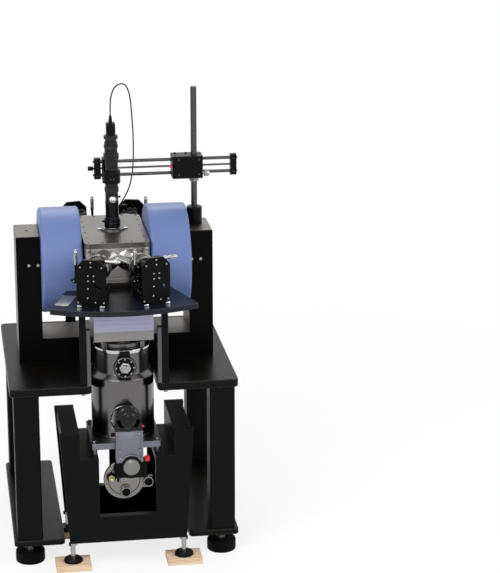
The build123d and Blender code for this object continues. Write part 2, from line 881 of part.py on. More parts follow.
def make_rods():
    found = []
    for z in (rod_low_z, rod_high_z):
        found.append(rod((rod_left_x, rod_y, z), (rod_right_x, rod_y, z), rod_r))
    for x in (rod_left_x, rod_right_x - bracket_thick):
        plate = box(x, x + bracket_thick, rod_y - bracket_edge, rod_y + bracket_edge,
                    rod_low_z - bracket_edge, rod_high_z + bracket_edge)
        plate = fillet(plate.edges().filter_by(Axis.X), 4)
        plate = plate - rod((x - 1, rod_y, screw_z), (x + bracket_thick + 1, rod_y, screw_z), screw_r + shaft_gap)
        for z in (rod_low_z, rod_high_z):
            plate = plate - rod((x - 1, rod_y, z), (x + bracket_thick + 1, rod_y, z), rod_r)
        found.append(plate)
    return found


def make_lead_screw():
    knob_x = rod_left_x - 3
    shaft = rod((knob_x - 1, rod_y, screw_z), (rod_right_x - 2, rod_y, screw_z), screw_r)
    knob = rod((knob_x - screw_knob_len, rod_y, screw_z), (knob_x, rod_y, screw_z), screw_knob_r)
    return shaft + chamfer(knob.edges().group_by(Axis.X)[0], 1)


def make_carriage():
    z_low = rod_low_z - 14
    ring = post_at(0, 0, z_low, z_low + carriage_height, tube_r + carriage_ring_wall)
    back = box(-24, 21, 10, rod_y + 12, z_low, rod_high_z + 12)
    ear = box(-8, 8, -tube_r - 12, -tube_r - 2, z_low + 4, z_low + carriage_height - 4)
    body = ring + back + ear
    body = body - post_at(0, 0, z_low - 1, rod_high_z + 20, tube_r + tube_bore_gap)
    for z, radius in ((rod_low_z, rod_r), (rod_high_z, rod_r), (screw_z, screw_r)):
        body = body - rod((-30, rod_y, z), (30, rod_y, z), radius + shaft_gap)
    return body


def make_microscope():
    tube = post_at(0, 0, scope_low_z + 20, scope_high_z, tube_r)
    light = post_at(0, 0, scope_low_z, scope_low_z + ring_light_height, ring_light_r)
    light = light - post_at(0, 0, scope_low_z - 1, scope_low_z + 3, ring_light_recess_r)
    adapter = post_at(0, 0, scope_high_z, camera_low_z, tube_r - 2)
    port = rod((0, -tube_r + 4, side_lens_z), (0, -tube_r - side_lens_len, side_lens_z), side_lens_r)
    return tube + light + adapter + port


def make_zoom_ring():
    top = zoom_ring_low_z + zoom_ring_height
    ring = post_at(0, 0, zoom_ring_low_z, top, zoom_ring_r)
    return ring - post_at(0, 0, zoom_ring_low_z - 1, top + 1, tube_r + tube_bore_gap)


def make_camera():
    half = camera_side / 2
    body = box(-half, half, -half, half, camera_low_z, camera_high_z)
    body = fillet(upright_edges(body, camera_high_z - camera_low_z), 2)
    boot = Pos(0, 0, camera_high_z) * Cone(6, 3.5, boot_high_z - camera_high_z,
                                           align=(Align.CENTER, Align.CENTER, Align.MIN))
    return body + boot


def cable_radii():
    radii = []
    for before, here, after in zip(cable_route, cable_route[1:], cable_route[2:]):
        first = Vector(*here) - Vector(*before)
        second = Vector(*after) - Vector(*here)
        turn = first.get_angle(second)
        shorter = min(first.length, second.length)
        radii.append(cable_arc_share * shorter / math.tan(math.radians(turn) / 2))
    return radii


def make_cable():
    radii = cable_radii()
    path = FilletPolyline(*cable_route, radius=radii)
    start = Plane(origin=path @ 0, z_dir=path % 0)
    tube = sweep(start * Circle(cable_r), path=path)
    print("cable radii", [round(r, 1) for r in radii])
    print("cable length", round(path.length, 1), "volume", round(tube.volume, 1),
          "against", round(math.pi * cable_r ** 2 * path.length, 1))
    return tube


def make_cable_coil():
    outer = post_at(coil_x, coil_y, deck_top_z, deck_top_z + coil_height, coil_mean_r + coil_half_width)
    ring = outer - post_at(coil_x, coil_y, deck_top_z - 1, deck_top_z + coil_height + 1,
                           coil_mean_r - coil_half_width)
    return ring


def make_cable_plug():
    y = coil_y + coil_mean_r + coil_half_width + plug_r + 1
    z = deck_top_z + plug_r
    body = rod((plug_back_x, y, z), (plug_back_x - 20, y, z), plug_r)
    return body + rod((plug_back_x - 20, y, z), (plug_back_x - 28, y, z), plug_r - 2)


add("boom_post", make_post())
add("post_collar", make_collar())
add("boom_clamp", make_clamp())
add("clamp_knob", make_clamp_knob())
add("boom_rods", *make_rods())
add("lead_screw", make_lead_screw())
add("scope_carriage", make_carriage())
add("microscope_body", make_microscope())
add("zoom_ring", make_zoom_ring())
add("camera", make_camera())
add("camera_cable", make_cable())
add("camera_cable_coil", make_cable_coil())
add("camera_cable_plug", make_cable_plug())

# The origin is under the middle of the bounding box, which the boom's right end widens
origin_shift_x = -(rod_right_x - table_width / 2) / 2

for name, solids in parts.items():
    placed = [Pos(origin_shift_x, 0, 0) * solid for solid in solids]
    shape = Compound(children=placed) if len(placed) > 1 else placed[0]
    export_step(shape, f"parts/{name}.step")
print(len(parts), "nodes")
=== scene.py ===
from math import cos, pi, radians, sin

import bpy
from mathutils import Matrix, Vector


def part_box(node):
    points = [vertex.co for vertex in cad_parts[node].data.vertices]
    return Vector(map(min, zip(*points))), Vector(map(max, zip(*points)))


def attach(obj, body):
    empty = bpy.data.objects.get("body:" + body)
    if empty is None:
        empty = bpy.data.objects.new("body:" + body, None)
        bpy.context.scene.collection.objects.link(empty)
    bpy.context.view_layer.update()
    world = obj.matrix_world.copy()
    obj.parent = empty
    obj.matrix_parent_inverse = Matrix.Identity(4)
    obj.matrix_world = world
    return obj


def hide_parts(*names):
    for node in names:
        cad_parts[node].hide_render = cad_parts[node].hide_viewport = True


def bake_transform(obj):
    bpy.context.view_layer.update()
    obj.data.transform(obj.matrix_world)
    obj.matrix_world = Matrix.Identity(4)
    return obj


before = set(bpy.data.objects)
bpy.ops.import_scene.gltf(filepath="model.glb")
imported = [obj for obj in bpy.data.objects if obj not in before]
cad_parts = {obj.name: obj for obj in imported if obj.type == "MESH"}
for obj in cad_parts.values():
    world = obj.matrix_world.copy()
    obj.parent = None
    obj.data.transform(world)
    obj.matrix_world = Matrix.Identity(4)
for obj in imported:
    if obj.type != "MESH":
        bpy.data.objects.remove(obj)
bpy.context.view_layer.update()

print("packed model loaded:", len(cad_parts), "nodes")

# The station's centre line, from the window over the sample
windowLow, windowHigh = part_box("window_glass")
stationX = (windowLow.x + windowHigh.x) / 2
lidTop = windowHigh.z
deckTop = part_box("deck_plates")[1].z
armWays = {"front_left": -15, "front_right": 15, "rear_right": 165, "rear_left": 195}
upward = (0, 0, 1)
towardViewer = (0, -1, 0)
stationPlace = Matrix.Translation((stationX, 0, 0))


# Shading groups that several finishes use

def newGroup(name, inputs, outputs):
    group = bpy.data.node_groups.new(name, "ShaderNodeTree")
    for socketName, kind, value in inputs:
        socket = group.interface.new_socket(socketName, in_out="INPUT", socket_type=kind)
        socket.default_value = value
    for socketName, kind in outputs:
        group.interface.new_socket(socketName, in_out="OUTPUT", socket_type=kind)
    return group, group.nodes.new("NodeGroupInput"), group.nodes.new("NodeGroupOutput")


def addMath(tree, operation, first, second, clamp=False):
    node = tree.nodes.new("ShaderNodeMath")
    node.operation = operation
    node.use_clamp = clamp
    for socket, value in zip(node.inputs, (first, second)):
        if isinstance(value, (int, float)):
            socket.default_value = value
        else:
            tree.links.new(value, socket)
    return node.outputs[0]


def addNoise(tree, vector, scale, detail=3):
    node = tree.nodes.new("ShaderNodeTexNoise")
    node.inputs["Detail"].default_value = detail
    tree.links.new(vector, node.inputs["Vector"])
    if isinstance(scale, (int, float)):
        node.inputs["Scale"].default_value = scale
    else:
        tree.links.new(scale, node.inputs["Scale"])
    return node.outputs["Fac"]


def addRange(tree, value, low, high):
    node = tree.nodes.new("ShaderNodeMapRange")
    tree.links.new(value, node.inputs["Value"])
    node.inputs["From Min"].default_value = low
    node.inputs["From Max"].default_value = high
    return node.outputs["Result"]


def makeGrainGroup():
    # Fine speckle over slow clouds: the unevenness of paint and of a machined skin
    group, given, made = newGroup("surfaceGrain", [("Scale", "NodeSocketFloat", 900.0)],
                                  [("Shade", "NodeSocketFloat"), ("Height", "NodeSocketFloat")])
    place = group.nodes.new("ShaderNodeTexCoord").outputs["Object"]
    fine = addNoise(group, place, given.outputs["Scale"], 2)
    clouds = addNoise(group, place, 9, 4)
    group.links.new(addMath(group, "MULTIPLY_ADD", clouds, 0.7), made.inputs["Shade"])
    shade = made.inputs["Shade"].links[0].from_node
    group.links.new(addMath(group, "MULTIPLY", fine, 0.3), shade.inputs[2])
    group.links.new(fine, made.inputs["Height"])
    return group


def makeBrushGroup():
    # Long fine lines of a brushed or turned surface, along the axis with the small number
    group, given, made = newGroup("brushedLines", [("Lines", "NodeSocketVector", (4.0, 900.0, 900.0))],
                                  [("Shade", "NodeSocketFloat"), ("Height", "NodeSocketFloat")])
    place = group.nodes.new("ShaderNodeTexCoord").outputs["Object"]
    stretch = group.nodes.new("ShaderNodeVectorMath")
    stretch.operation = "MULTIPLY"
    group.links.new(place, stretch.inputs[0])
    group.links.new(given.outputs["Lines"], stretch.inputs[1])
    lines = addNoise(group, stretch.outputs[0], 1, 4)
    group.links.new(addRange(group, lines, 0.3, 0.7), made.inputs["Shade"])
    group.links.new(lines, made.inputs["Height"])
    return group


def makeEdgeGroup():
    # Rounded edges for the light to catch, and the mask of where they are, along which the finishes paint a
    # highlight colour
    group, given, made = newGroup("edgeHighlight", [("Roundness", "NodeSocketFloat", 0.0012)],
                                  [("Mask", "NodeSocketFloat"), ("Normal", "NodeSocketVector")])
    bevel = group.nodes.new("ShaderNodeBevel")
    bevel.samples = 6
    group.links.new(given.outputs["Roundness"], bevel.inputs["Radius"])
    flat = group.nodes.new("ShaderNodeNewGeometry")
    dot = group.nodes.new("ShaderNodeVectorMath")
    dot.operation = "DOT_PRODUCT"
    group.links.new(bevel.outputs["Normal"], dot.inputs[0])
    group.links.new(flat.outputs["Normal"], dot.inputs[1])
    group.links.new(addRange(group, dot.outputs["Value"], 0.99, 0.75), made.inputs["Mask"])
    group.links.new(bevel.outputs["Normal"], made.inputs["Normal"])
    return group


def makeZoneGroup():
    # A mask that turns from 0 to 1 where the place along one axis passes a level
    group, given, made = newGroup("zoneAlong",
                                  [("Axis", "NodeSocketVector", (0.0, 0.0, 1.0)),
                                   ("Level", "NodeSocketFloat", 0.0)],
                                  [("Mask", "NodeSocketFloat")])
    place = group.nodes.new("ShaderNodeTexCoord").outputs["Object"]
    along = group.nodes.new("ShaderNodeVectorMath")
    along.operation = "DOT_PRODUCT"
    group.links.new(place, along.inputs[0])
    group.links.new(given.outputs["Axis"], along.inputs[1])
    group.links.new(addMath(group, "GREATER_THAN", along.outputs["Value"], given.outputs["Level"]),
                    made.inputs["Mask"])
    return group


surfaceGrain = makeGrainGroup()
brushedLines = makeBrushGroup()
edgeHighlight = makeEdgeGroup()
zoneAlong = makeZoneGroup()
print("shading groups made")


# Finishes: colours are screen values, second is a finish that shows on one part of a node, and the edge
# colour is a painted highlight mixed in along the rounded edges by the edge amount

finishes = {
    "tableBlack": dict(colour=(19, 18, 17), rough=0.3, grain=900, shade=0.1, bump=0.01, edge=0.8,
                       edgeHighlightColour=(150, 148, 146), spec=0.1),
    "satinBlack": dict(colour=(17, 17, 18), rough=0.42, grain=900, shade=0.2, bump=0.04, edge=0.25,
                       edgeHighlightColour=(85, 85, 88), spec=0.08),
    "deckBlack": dict(colour=(22, 25, 34), rough=0.3, grain=900, shade=0.2, bump=0.02, edge=0.6,
                      edgeHighlightColour=(120, 124, 136), spec=0.22),
    "anodizedBlack": dict(colour=(13, 13, 14), rough=0.36, grain=1200, shade=0.2, bump=0.03, edge=0.3,
                          edgeHighlightColour=(90, 90, 92), spec=0.09),
    "glossBlack": dict(colour=(10, 10, 11), rough=0.14, grain=1200, shade=0.15, bump=0.01, edge=0.3,
                       edgeHighlightColour=(100, 100, 104), spec=0.3),
    "yokeSteel": dict(colour=(12, 12, 13), rough=0.4, grain=800, shade=0.2, bump=0.04, edge=0.15,
                      edgeHighlightColour=(90, 88, 85), spec=0.05,
                      second=dict(colour=(102, 97, 92), rough=0.42, metal=1.0), facing="sides"),
    "coilBlue": dict(colour=(95, 111, 157), rough=0.4, grain=500, shade=0.1, bump=0.02, edge=0.35,
                     edgeHighlightColour=(135, 148, 190), spec=0.3),
    "copperWire": dict(colour=(184, 110, 70), rough=0.35, metal=1.0, grain=900, shade=0.3, bump=0.1,
                       brush=(1200, 30, 30)),
    "chamberSteel": dict(colour=(160, 156, 152), rough=0.22, metal=1.0, grain=600, shade=0.15, bump=0.015,
                         edge=0.5, edgeHighlightColour=(225, 222, 218), brush=(900, 6, 900)),
    "lidSteel": dict(colour=(103, 99, 96), rough=0.3, metal=1.0, grain=600, shade=0.15, bump=0.015,
                     edge=0.6, edgeHighlightColour=(190, 186, 180), brush=(900, 6, 900)),
    "portSteel": dict(colour=(196, 195, 195), rough=0.1, metal=1.0, grain=300, shade=0.1, bump=0.006),
    "polishedSteel": dict(colour=(108, 106, 106), rough=0.2, metal=1.0, grain=300, shade=0.1, bump=0.006,
                          edge=0.35, edgeHighlightColour=(210, 210, 212), brush=(500, 500, 3)),
    "flangeSteel": dict(colour=(132, 130, 127), rough=0.26, metal=1.0, grain=900, shade=0.2, bump=0.015,
                        edge=0.4, edgeHighlightColour=(215, 213, 210)),
    "brightSteel": dict(colour=(170, 169, 168), rough=0.2, metal=1.0, grain=900, shade=0.2, bump=0.02),
    "darkSteel": dict(colour=(80, 79, 78), rough=0.34, metal=1.0, grain=900, shade=0.3, bump=0.03,
                      brush=(700, 700, 5)),
    "plateAluminium": dict(colour=(122, 123, 131), rough=0.34, metal=1.0, grain=900, shade=0.15, bump=0.015,
                           edge=0.5, edgeHighlightColour=(205, 206, 212), brush=(900, 900, 8)),
    "rubber": dict(colour=(13, 13, 13), rough=0.6, grain=1500, shade=0.3, bump=0.1, spec=0.08),
    "rubberPuck": dict(colour=(13, 13, 13), rough=0.6, grain=1500, shade=0.3, bump=0.1, spec=0.06,
                       second=dict(colour=(170, 168, 166), rough=0.2, metal=1.0), above=0.0345),
    "standFootBlack": dict(colour=(17, 16, 16), rough=0.3, grain=900, shade=0.3, bump=0.03, spec=0.12,
                           second=dict(colour=(170, 168, 166), rough=0.2, metal=1.0), above=0.0292),
    "postChrome": dict(colour=(14, 14, 15), rough=0.34, grain=900, shade=0.2, bump=0.03, edge=0.3,
                       edgeHighlightColour=(90, 90, 92), spec=0.1,
                       second=dict(colour=(82, 80, 79), rough=0.16, metal=1.0), above=0.9642),
    "redPlastic": dict(colour=(190, 24, 26), rough=0.3, grain=900, shade=0.15, bump=0.02, coat=0.2),
    "cableJacket": dict(colour=(15, 15, 16), rough=0.46, grain=1800, shade=0.3, bump=0.06, spec=0.15),
    "brass": dict(colour=(206, 190, 140), rough=0.24, metal=1.0, grain=900, shade=0.2, bump=0.02),
    "shroudLavender": dict(colour=(128, 126, 124), rough=0.4, metal=0.55, grain=900, shade=0.1, bump=0.01,
                           edge=0.4, edgeHighlightColour=(200, 200, 214),
                           second=dict(colour=(150, 151, 176), rough=0.4, metal=0.55), above=0.0),
    "bareNameplate": dict(colour=(150, 151, 154), rough=0.38, metal=0.8, grain=1100, shade=0.2, bump=0.02,
                          edge=0.5, edgeHighlightColour=(215, 215, 216), brush=(900, 20, 900)),
    # A near-white mirror finish for the side lens, the ring light's lamp beads and the base shoes: a painted
    # glint that makes them read bright without giving light
    "paintedGlint": dict(colour=(232, 236, 240), rough=0.12, metal=1.0, grain=300, shade=0.1, bump=0.0),
}


def linear(colour):
    # From screen values of 0 to 255 to the shader's own numbers
    return tuple((c / 255) ** 2.2 for c in colour) + (1.0,)


def groupIn(tree, group, **values):
    node = tree.nodes.new("ShaderNodeGroup")
    node.node_tree = group
    for name, value in values.items():
        node.inputs[name].default_value = value
    return node


def mixRgb(tree, amount, first, second):
    node = tree.nodes.new("ShaderNodeMix")
    node.data_type = "RGBA"
    factor = [s for s in node.inputs if s.type == "VALUE"][0]
    ends = [s for s in node.inputs if s.type == "RGBA"]
    for socket, value in ((factor, amount), (ends[0], first), (ends[1], second)):
        if isinstance(value, (int, float, tuple)):
            socket.default_value = value
        else:
            tree.links.new(value, socket)
    return [s for s in node.outputs if s.type == "RGBA"][0]


def zoneMask(tree, look):
    # Where the second finish shows
    if look.get("facing") == "sides":
        normal = tree.nodes.new("ShaderNodeTexCoord").outputs["Normal"]
        parts = tree.nodes.new("ShaderNodeSeparateXYZ")
        tree.links.new(normal, parts.inputs[0])
        depth = addMath(tree, "ABSOLUTE", parts.outputs["Y"], 0)
        return addMath(tree, "LESS_THAN", depth, 0.7)
    axis = look.get("axis", (0.0, 0.0, 1.0))
    zone = groupIn(tree, zoneAlong, Axis=axis, Level=look["above"])
    mask = zone.outputs["Mask"]
    if "below" in look:
        far = groupIn(tree, zoneAlong, Axis=axis, Level=look["below"])
        mask = addMath(tree, "SUBTRACT", mask, far.outputs["Mask"])
    return mask


grainDepth = 0.0004
edgeRoundness = 0.0012


def shadeOf(colour, share):
    # The same colour, darker by a share
    return tuple(c * share for c in colour[:3]) + (1.0,)


def addSecondFinish(tree, shader, look, shade, tint, roughness):
    other = look["second"]
    mask = zoneMask(tree, look)
    otherColour = linear(other["colour"])
    shaded = mixRgb(tree, shade, otherColour, shadeOf(otherColour, 0.6))
    tint = mixRgb(tree, mask, tint, shaded)
    change = addMath(tree, "MULTIPLY", mask, other["rough"] - look["rough"])
    roughness = addMath(tree, "ADD", roughness, change)
    metal = look.get("metal", 0.0)
    metalness = addMath(tree, "MULTIPLY", mask, other.get("metal", 0.0) - metal)
    tree.links.new(addMath(tree, "ADD", metalness, metal), shader.inputs["Metallic"])
    return tint, roughness


def makeFinish(name, look):
    material = bpy.data.materials.new(name)
    material.use_nodes = True
    tree = material.node_tree
    shader = tree.nodes["Principled BSDF"]
    colour = linear(look["colour"])
    rough = look["rough"]
    grain = groupIn(tree, surfaceGrain, Scale=float(look["grain"]))
    shade = addMath(tree, "MULTIPLY", grain.outputs["Shade"], look["shade"])
    darker = shadeOf(colour, 0.55)
    tint = mixRgb(tree, shade, colour, darker)
    uneven = addMath(tree, "MULTIPLY", grain.outputs["Shade"], rough * 0.4)
    roughness = addMath(tree, "ADD", uneven, rough * 0.8)
    height = grain.outputs["Height"]
    if "brush" in look:
        brush = groupIn(tree, brushedLines, Lines=tuple(float(n) for n in look["brush"]))
        tint = mixRgb(tree, addMath(tree, "MULTIPLY", brush.outputs["Shade"], 0.22), tint, darker)
        height = addMath(tree, "ADD", height, brush.outputs["Height"])
    if "second" in look:
        tint, roughness = addSecondFinish(tree, shader, look, shade, tint, roughness)
    else:
        shader.inputs["Metallic"].default_value = look.get("metal", 0.0)
    bump = tree.nodes.new("ShaderNodeBump")
    bump.inputs["Strength"].default_value = min(1.0, look["bump"] * 5)
    bump.inputs["Distance"].default_value = grainDepth
    tree.links.new(height, bump.inputs["Height"])
    # Painted highlight: a lighter colour mixed in along the rounded edges, where the light catches them
    if "edge" in look:
        edge = groupIn(tree, edgeHighlight, Roundness=edgeRoundness)
        amount = addMath(tree, "MULTIPLY", edge.outputs["Mask"], look["edge"])
        tint = mixRgb(tree, amount, tint, linear(look["edgeHighlightColour"]))
        tree.links.new(edge.outputs["Normal"], bump.inputs["Normal"])
    tree.links.new(tint, shader.inputs["Base Color"])
    tree.links.new(roughness, shader.inputs["Roughness"])
    tree.links.new(bump.outputs["Normal"], shader.inputs["Normal"])
    shader.inputs["Specular IOR Level"].default_value = look.get("spec", 0.5)
    shader.inputs["Coat Weight"].default_value = look.get("coat", 0.0)
    shader.inputs["Coat Roughness"].default_value = 0.2
    return material


plywood = dict(pale=(238, 212, 184), dark=(200, 168, 132), ply=(150, 112, 74), plyThick=0.0045,
               grain=(9.0, 260.0, 120.0))


def makePlywood():
    # Face veneer with long grain, and thin plies that show at the edges
    material = bpy.data.materials.new("plywoodVeneer")
    material.use_nodes = True
    tree = material.node_tree
    shader = tree.nodes["Principled BSDF"]
    grain = groupIn(tree, brushedLines, Lines=plywood["grain"])
    tint = mixRgb(tree, grain.outputs["Shade"], linear(plywood["pale"]), linear(plywood["dark"]))
    place = tree.nodes.new("ShaderNodeTexCoord").outputs["Object"]
    parts = tree.nodes.new("ShaderNodeSeparateXYZ")
    tree.links.new(place, parts.inputs[0])
    phase = addMath(tree, "MULTIPLY", parts.outputs["Z"], 2 * pi / plywood["plyThick"])
    plies = addMath(tree, "SINE", phase, 0)
    normal = tree.nodes.new("ShaderNodeTexCoord").outputs["Normal"]
    sides = tree.nodes.new("ShaderNodeSeparateXYZ")
    tree.links.new(normal, sides.inputs[0])
    upright = addMath(tree, "LESS_THAN", addMath(tree, "ABSOLUTE", sides.outputs["Z"], 0), 0.5)
    band = addMath(tree, "MULTIPLY", addMath(tree, "GREATER_THAN", plies, 0), upright)
    tint = mixRgb(tree, addMath(tree, "MULTIPLY", band, 0.55), tint, linear(plywood["ply"]))
    tree.links.new(tint, shader.inputs["Base Color"])
    tree.links.new(addMath(tree, "MULTIPLY_ADD", grain.outputs["Shade"], 0.2), shader.inputs["Roughness"])
    shader.inputs["Roughness"].links[0].from_node.inputs[2].default_value = 0.5
    bump = tree.nodes.new("ShaderNodeBump")
    bump.inputs["Strength"].default_value = 0.3
    bump.inputs["Distance"].default_value = 0.0003
    tree.links.new(grain.outputs["Height"], bump.inputs["Height"])
    tree.links.new(bump.outputs["Normal"], shader.inputs["Normal"])
    return material


def makeClearGlass():
    material = bpy.data.materials.new("windowGlass")
    material.use_nodes = True
    shader = material.node_tree.nodes["Principled BSDF"]
    shader.inputs["Base Color"].default_value = linear((235, 240, 240))
    shader.inputs["Roughness"].default_value = 0.02
    shader.inputs["Transmission Weight"].default_value = 1.0
    shader.inputs["IOR"].default_value = 1.46
    return material


shroudLow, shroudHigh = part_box("neck_shroud")
greyShare = 0.3  # how much of the shroud, from below, stays plain grey
finishes["shroudLavender"]["above"] = shroudLow.z + greyShare * (shroudHigh.z - shroudLow.z)
finish = {name: makeFinish(name, look) for name, look in finishes.items()}
finish["plywood"] = makePlywood()
finish["glass"] = makeClearGlass()


def zonedFinish(name, base, **zone):
    # A finish of its own for a node that shows two finishes in two places
    look = dict(finishes[base])
    look.update(zone)
    finish[name] = makeFinish(name, look)


rodLow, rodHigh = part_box("boom_rods")
bracketThick = 0.019
chrome = dict(colour=(92, 92, 93), rough=0.14, metal=1.0)
zonedFinish("rodsAndBrackets", "anodizedBlack", second=chrome, axis=(1.0, 0.0, 0.0),
            above=rodLow.x + bracketThick, below=rodHigh.x - bracketThick)
zonedFinish("screwAndKnob", "anodizedBlack", second=chrome, axis=(1.0, 0.0, 0.0), above=rodLow.x)
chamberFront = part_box("chamber_lid")[0].y
guideReach = 0.107  # the bare guide bars stand this near the middle, the black legs outside
zonedFinish("legsAndGuides", "satinBlack", second=dict(colour=(96, 96, 100), rough=0.3, metal=0.9),
            axis=(1.0, 0.0, 0.0), above=stationX - guideReach, below=stationX + guideReach)
print("finishes made:", len(finish))

nodeFinish = {
    "table_top": "tableBlack", "table_columns": "satinBlack", "table_sled_plates": "tableBlack",
    "rubber_feet": "rubberPuck", "magnet_yoke": "yokeSteel", "coil_cans": "coilBlue",
    "coil_windings": "copperWire", "pole_pieces": "darkSteel", "deck_plates": "deckBlack",
    "deck_legs": "legsAndGuides", "chamber_body": "chamberSteel", "chamber_pedestal": "darkSteel",
    "chamber_lid": "lidSteel", "window_glass": "glass", "probe_bellows": "brightSteel",
    "sample_stage": "brass", "manipulator_bases": "anodizedBlack", "dewar_body": "polishedSteel",
    "dewar_head": "polishedSteel", "dewar_mount_plate": "plateAluminium", "neck_shroud": "shroudLavender",
    "cryostat_stand": "satinBlack", "stand_feet": "standFootBlack", "wood_pads": "plywood",
    "valve_body": "anodizedBlack", "valve_handwheel": "redPlastic", "electrical_flange": "flangeSteel",
    "boom_post": "postChrome", "post_collar": "flangeSteel", "boom_clamp": "anodizedBlack",
    "clamp_knob": "brightSteel", "boom_rods": "rodsAndBrackets", "lead_screw": "screwAndKnob",
    "scope_carriage": "anodizedBlack", "microscope_body": "glossBlack", "zoom_ring": "glossBlack",
    "camera": "anodizedBlack", "camera_cable": "cableJacket", "camera_cable_coil": "cableJacket",
    "camera_cable_plug": "anodizedBlack",
}
for place in armWays:
    nodeFinish[place + "_y_stage"] = "anodizedBlack"
    nodeFinish[place + "_x_stage"] = "anodizedBlack"
    nodeFinish[place + "_arm"] = "anodizedBlack"
    nodeFinish[place + "_x_thimble"] = "brightSteel"
    nodeFinish[place + "_z_thimble"] = "brightSteel"


def dress(node, name):
    slots = node.data.materials
    for index in range(len(slots)):
        slots[index] = finish[name]
    if not len(slots):
        slots.append(finish[name])


for nodeName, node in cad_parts.items():
    dress(node, nodeFinish[nodeName])
print("packed nodes dressed")


# Workbench: the ways that the small parts are made

workbench = []


def startFresh():
    if bpy.context.object and bpy.context.object.mode != "OBJECT":
        bpy.ops.object.mode_set(mode="OBJECT")
    bpy.ops.object.select_all(action="DESELECT")


def settle():
    bpy.ops.object.transform_apply(location=True, rotation=True, scale=True)
    return bpy.context.object


def closeUp(smoothAngle=35):
    # Outward faces, and smooth shading that keeps the hard edges
    bpy.ops.mesh.select_all(action="SELECT")
    bpy.ops.mesh.normals_make_consistent(inside=False)
    bpy.ops.object.mode_set(mode="OBJECT")
    bpy.ops.object.shade_smooth_by_angle(angle=radians(smoothAngle))
    piece = bpy.context.object
    workbench.append(piece)
    return piece


def turnedPiece(stations, sides=32):
    # A turned solid through (radius, height) stations, from its foot up
    startFresh()
    radiusBefore, heightBefore = stations[0]
    bpy.ops.mesh.primitive_circle_add(vertices=sides, radius=radiusBefore, fill_type="NGON")
    bpy.ops.object.mode_set(mode="EDIT")
    bpy.ops.mesh.select_all(action="SELECT")
    bpy.ops.transform.translate(value=(0, 0, heightBefore))
    for radius, height in stations[1:]:
        bpy.ops.mesh.extrude_region_move(TRANSFORM_OT_translate={"value": (0, 0, height - heightBefore)})
        ratio = radius / radiusBefore
        bpy.ops.transform.resize(value=(ratio, ratio, 1), center_override=(0, 0, height))
        radiusBefore, heightBefore = radius, height
    return closeUp()


def turnedRing(inner, outer, low, high, rounding, sides=48):
    # A ring spun from a small rectangle with rounded corners
    startFresh()
    bpy.ops.mesh.primitive_plane_add(size=1, location=((inner + outer) / 2, 0, (low + high) / 2),
                                     rotation=(pi / 2, 0, 0))
    bpy.context.object.scale = (outer - inner, high - low, 1)
    settle()
    bpy.ops.object.mode_set(mode="EDIT")
    bpy.ops.mesh.select_all(action="SELECT")
    bpy.ops.mesh.bevel(offset=rounding, segments=2, affect="VERTICES")
    bpy.ops.mesh.delete(type="ONLY_FACE")
    bpy.ops.mesh.select_all(action="SELECT")
    bpy.ops.mesh.spin(steps=sides, angle=2 * pi, center=(0, 0, 0), axis=(0, 0, 1))
    bpy.ops.mesh.select_all(action="SELECT")
    bpy.ops.mesh.remove_doubles(threshold=0.000002)
    return closeUp()


def roundedBlock(size, rounding=0.001, segments=2):
    startFresh()
    bpy.ops.mesh.primitive_cube_add(size=1, location=(0, 0, 0))
    bpy.context.object.scale = size
    settle()
    bpy.ops.object.mode_set(mode="EDIT")
    bpy.ops.mesh.select_all(action="SELECT")
    bpy.ops.mesh.bevel(offset=rounding, segments=segments, affect="EDGES")
    return closeUp()


def selectFaces(piece, wanted):
    # The wanted faces picked, ready for the next edit
    bpy.ops.object.mode_set(mode="OBJECT")
    for vertex in piece.data.vertices:
        vertex.select = False
    for edge in piece.data.edges:
        edge.select = False
    for face in piece.data.polygons:
        face.select = wanted(face)
    bpy.ops.object.mode_set(mode="EDIT")
    bpy.ops.mesh.select_mode(type="FACE")


def workOn(piece):
    startFresh()
    piece.select_set(True)
    bpy.context.view_layer.objects.active = piece


def angleAround(middle):
    return (middle.xy.angle_signed(Vector((1, 0))) + 2 * pi) % (2 * pi)


def knurl(piece, low, high, depth, width=0.0002):
    # Every other side face between two heights is pushed in
    workOn(piece)
    sides = [f for f in piece.data.polygons if low < f.center.z < high and abs(f.normal.z) < 0.3]
    sides.sort(key=lambda face: (round(face.center.z, 5), angleAround(face.center)))
    chosen = {face.index for face in sides[::2]}
    selectFaces(piece, lambda face: face.index in chosen)
    bpy.ops.mesh.inset(thickness=width, depth=-depth, use_individual=True)
    workbench.remove(piece)
    return closeUp(30)


def bored(piece, wall, deep, fromTop=False):
    # A bore sunk into one end of a turned piece
    workOn(piece)
    ends = [v.co.z for v in piece.data.vertices]
    end = max(ends) if fromTop else min(ends)
    sign = 1 if fromTop else -1
    selectFaces(piece, lambda face: abs(face.center.z - end) < 1e-6 and face.normal.z * sign > 0.9)
    bpy.ops.mesh.inset(thickness=wall, depth=0)
    bpy.ops.mesh.extrude_region_move(TRANSFORM_OT_translate={"value": (0, 0, -sign * deep)})
    workbench.remove(piece)
    return closeUp()


def put(template, place, direction=upward, turn=0.0, scale=1.0, within=stationPlace):
    # A copy with its own mesh, its top along the direction, placed from the station's middle
    made = template.copy()
    made.data = template.data.copy()
    bpy.context.scene.collection.objects.link(made)
    tilt = Vector(direction).to_track_quat("Z", "Y").to_matrix().to_4x4()
    made.data.transform(within @ Matrix.Translation(place) @ tilt @ Matrix.Rotation(turn, 4, "Z") @
                        Matrix.Scale(scale, 4))
    return made


def gather(name, copies, body, look):
    # Copies that share a body and a finish become one piece
    startFresh()
    for made in copies:
        made.select_set(True)
    bpy.context.view_layer.objects.active = copies[0]
    if len(copies) > 1:
        bpy.ops.object.join()
    piece = bpy.context.object
    piece.name = name
    piece.data.materials.clear()
    piece.data.materials.append(finish[look])
    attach(piece, body)
    return piece


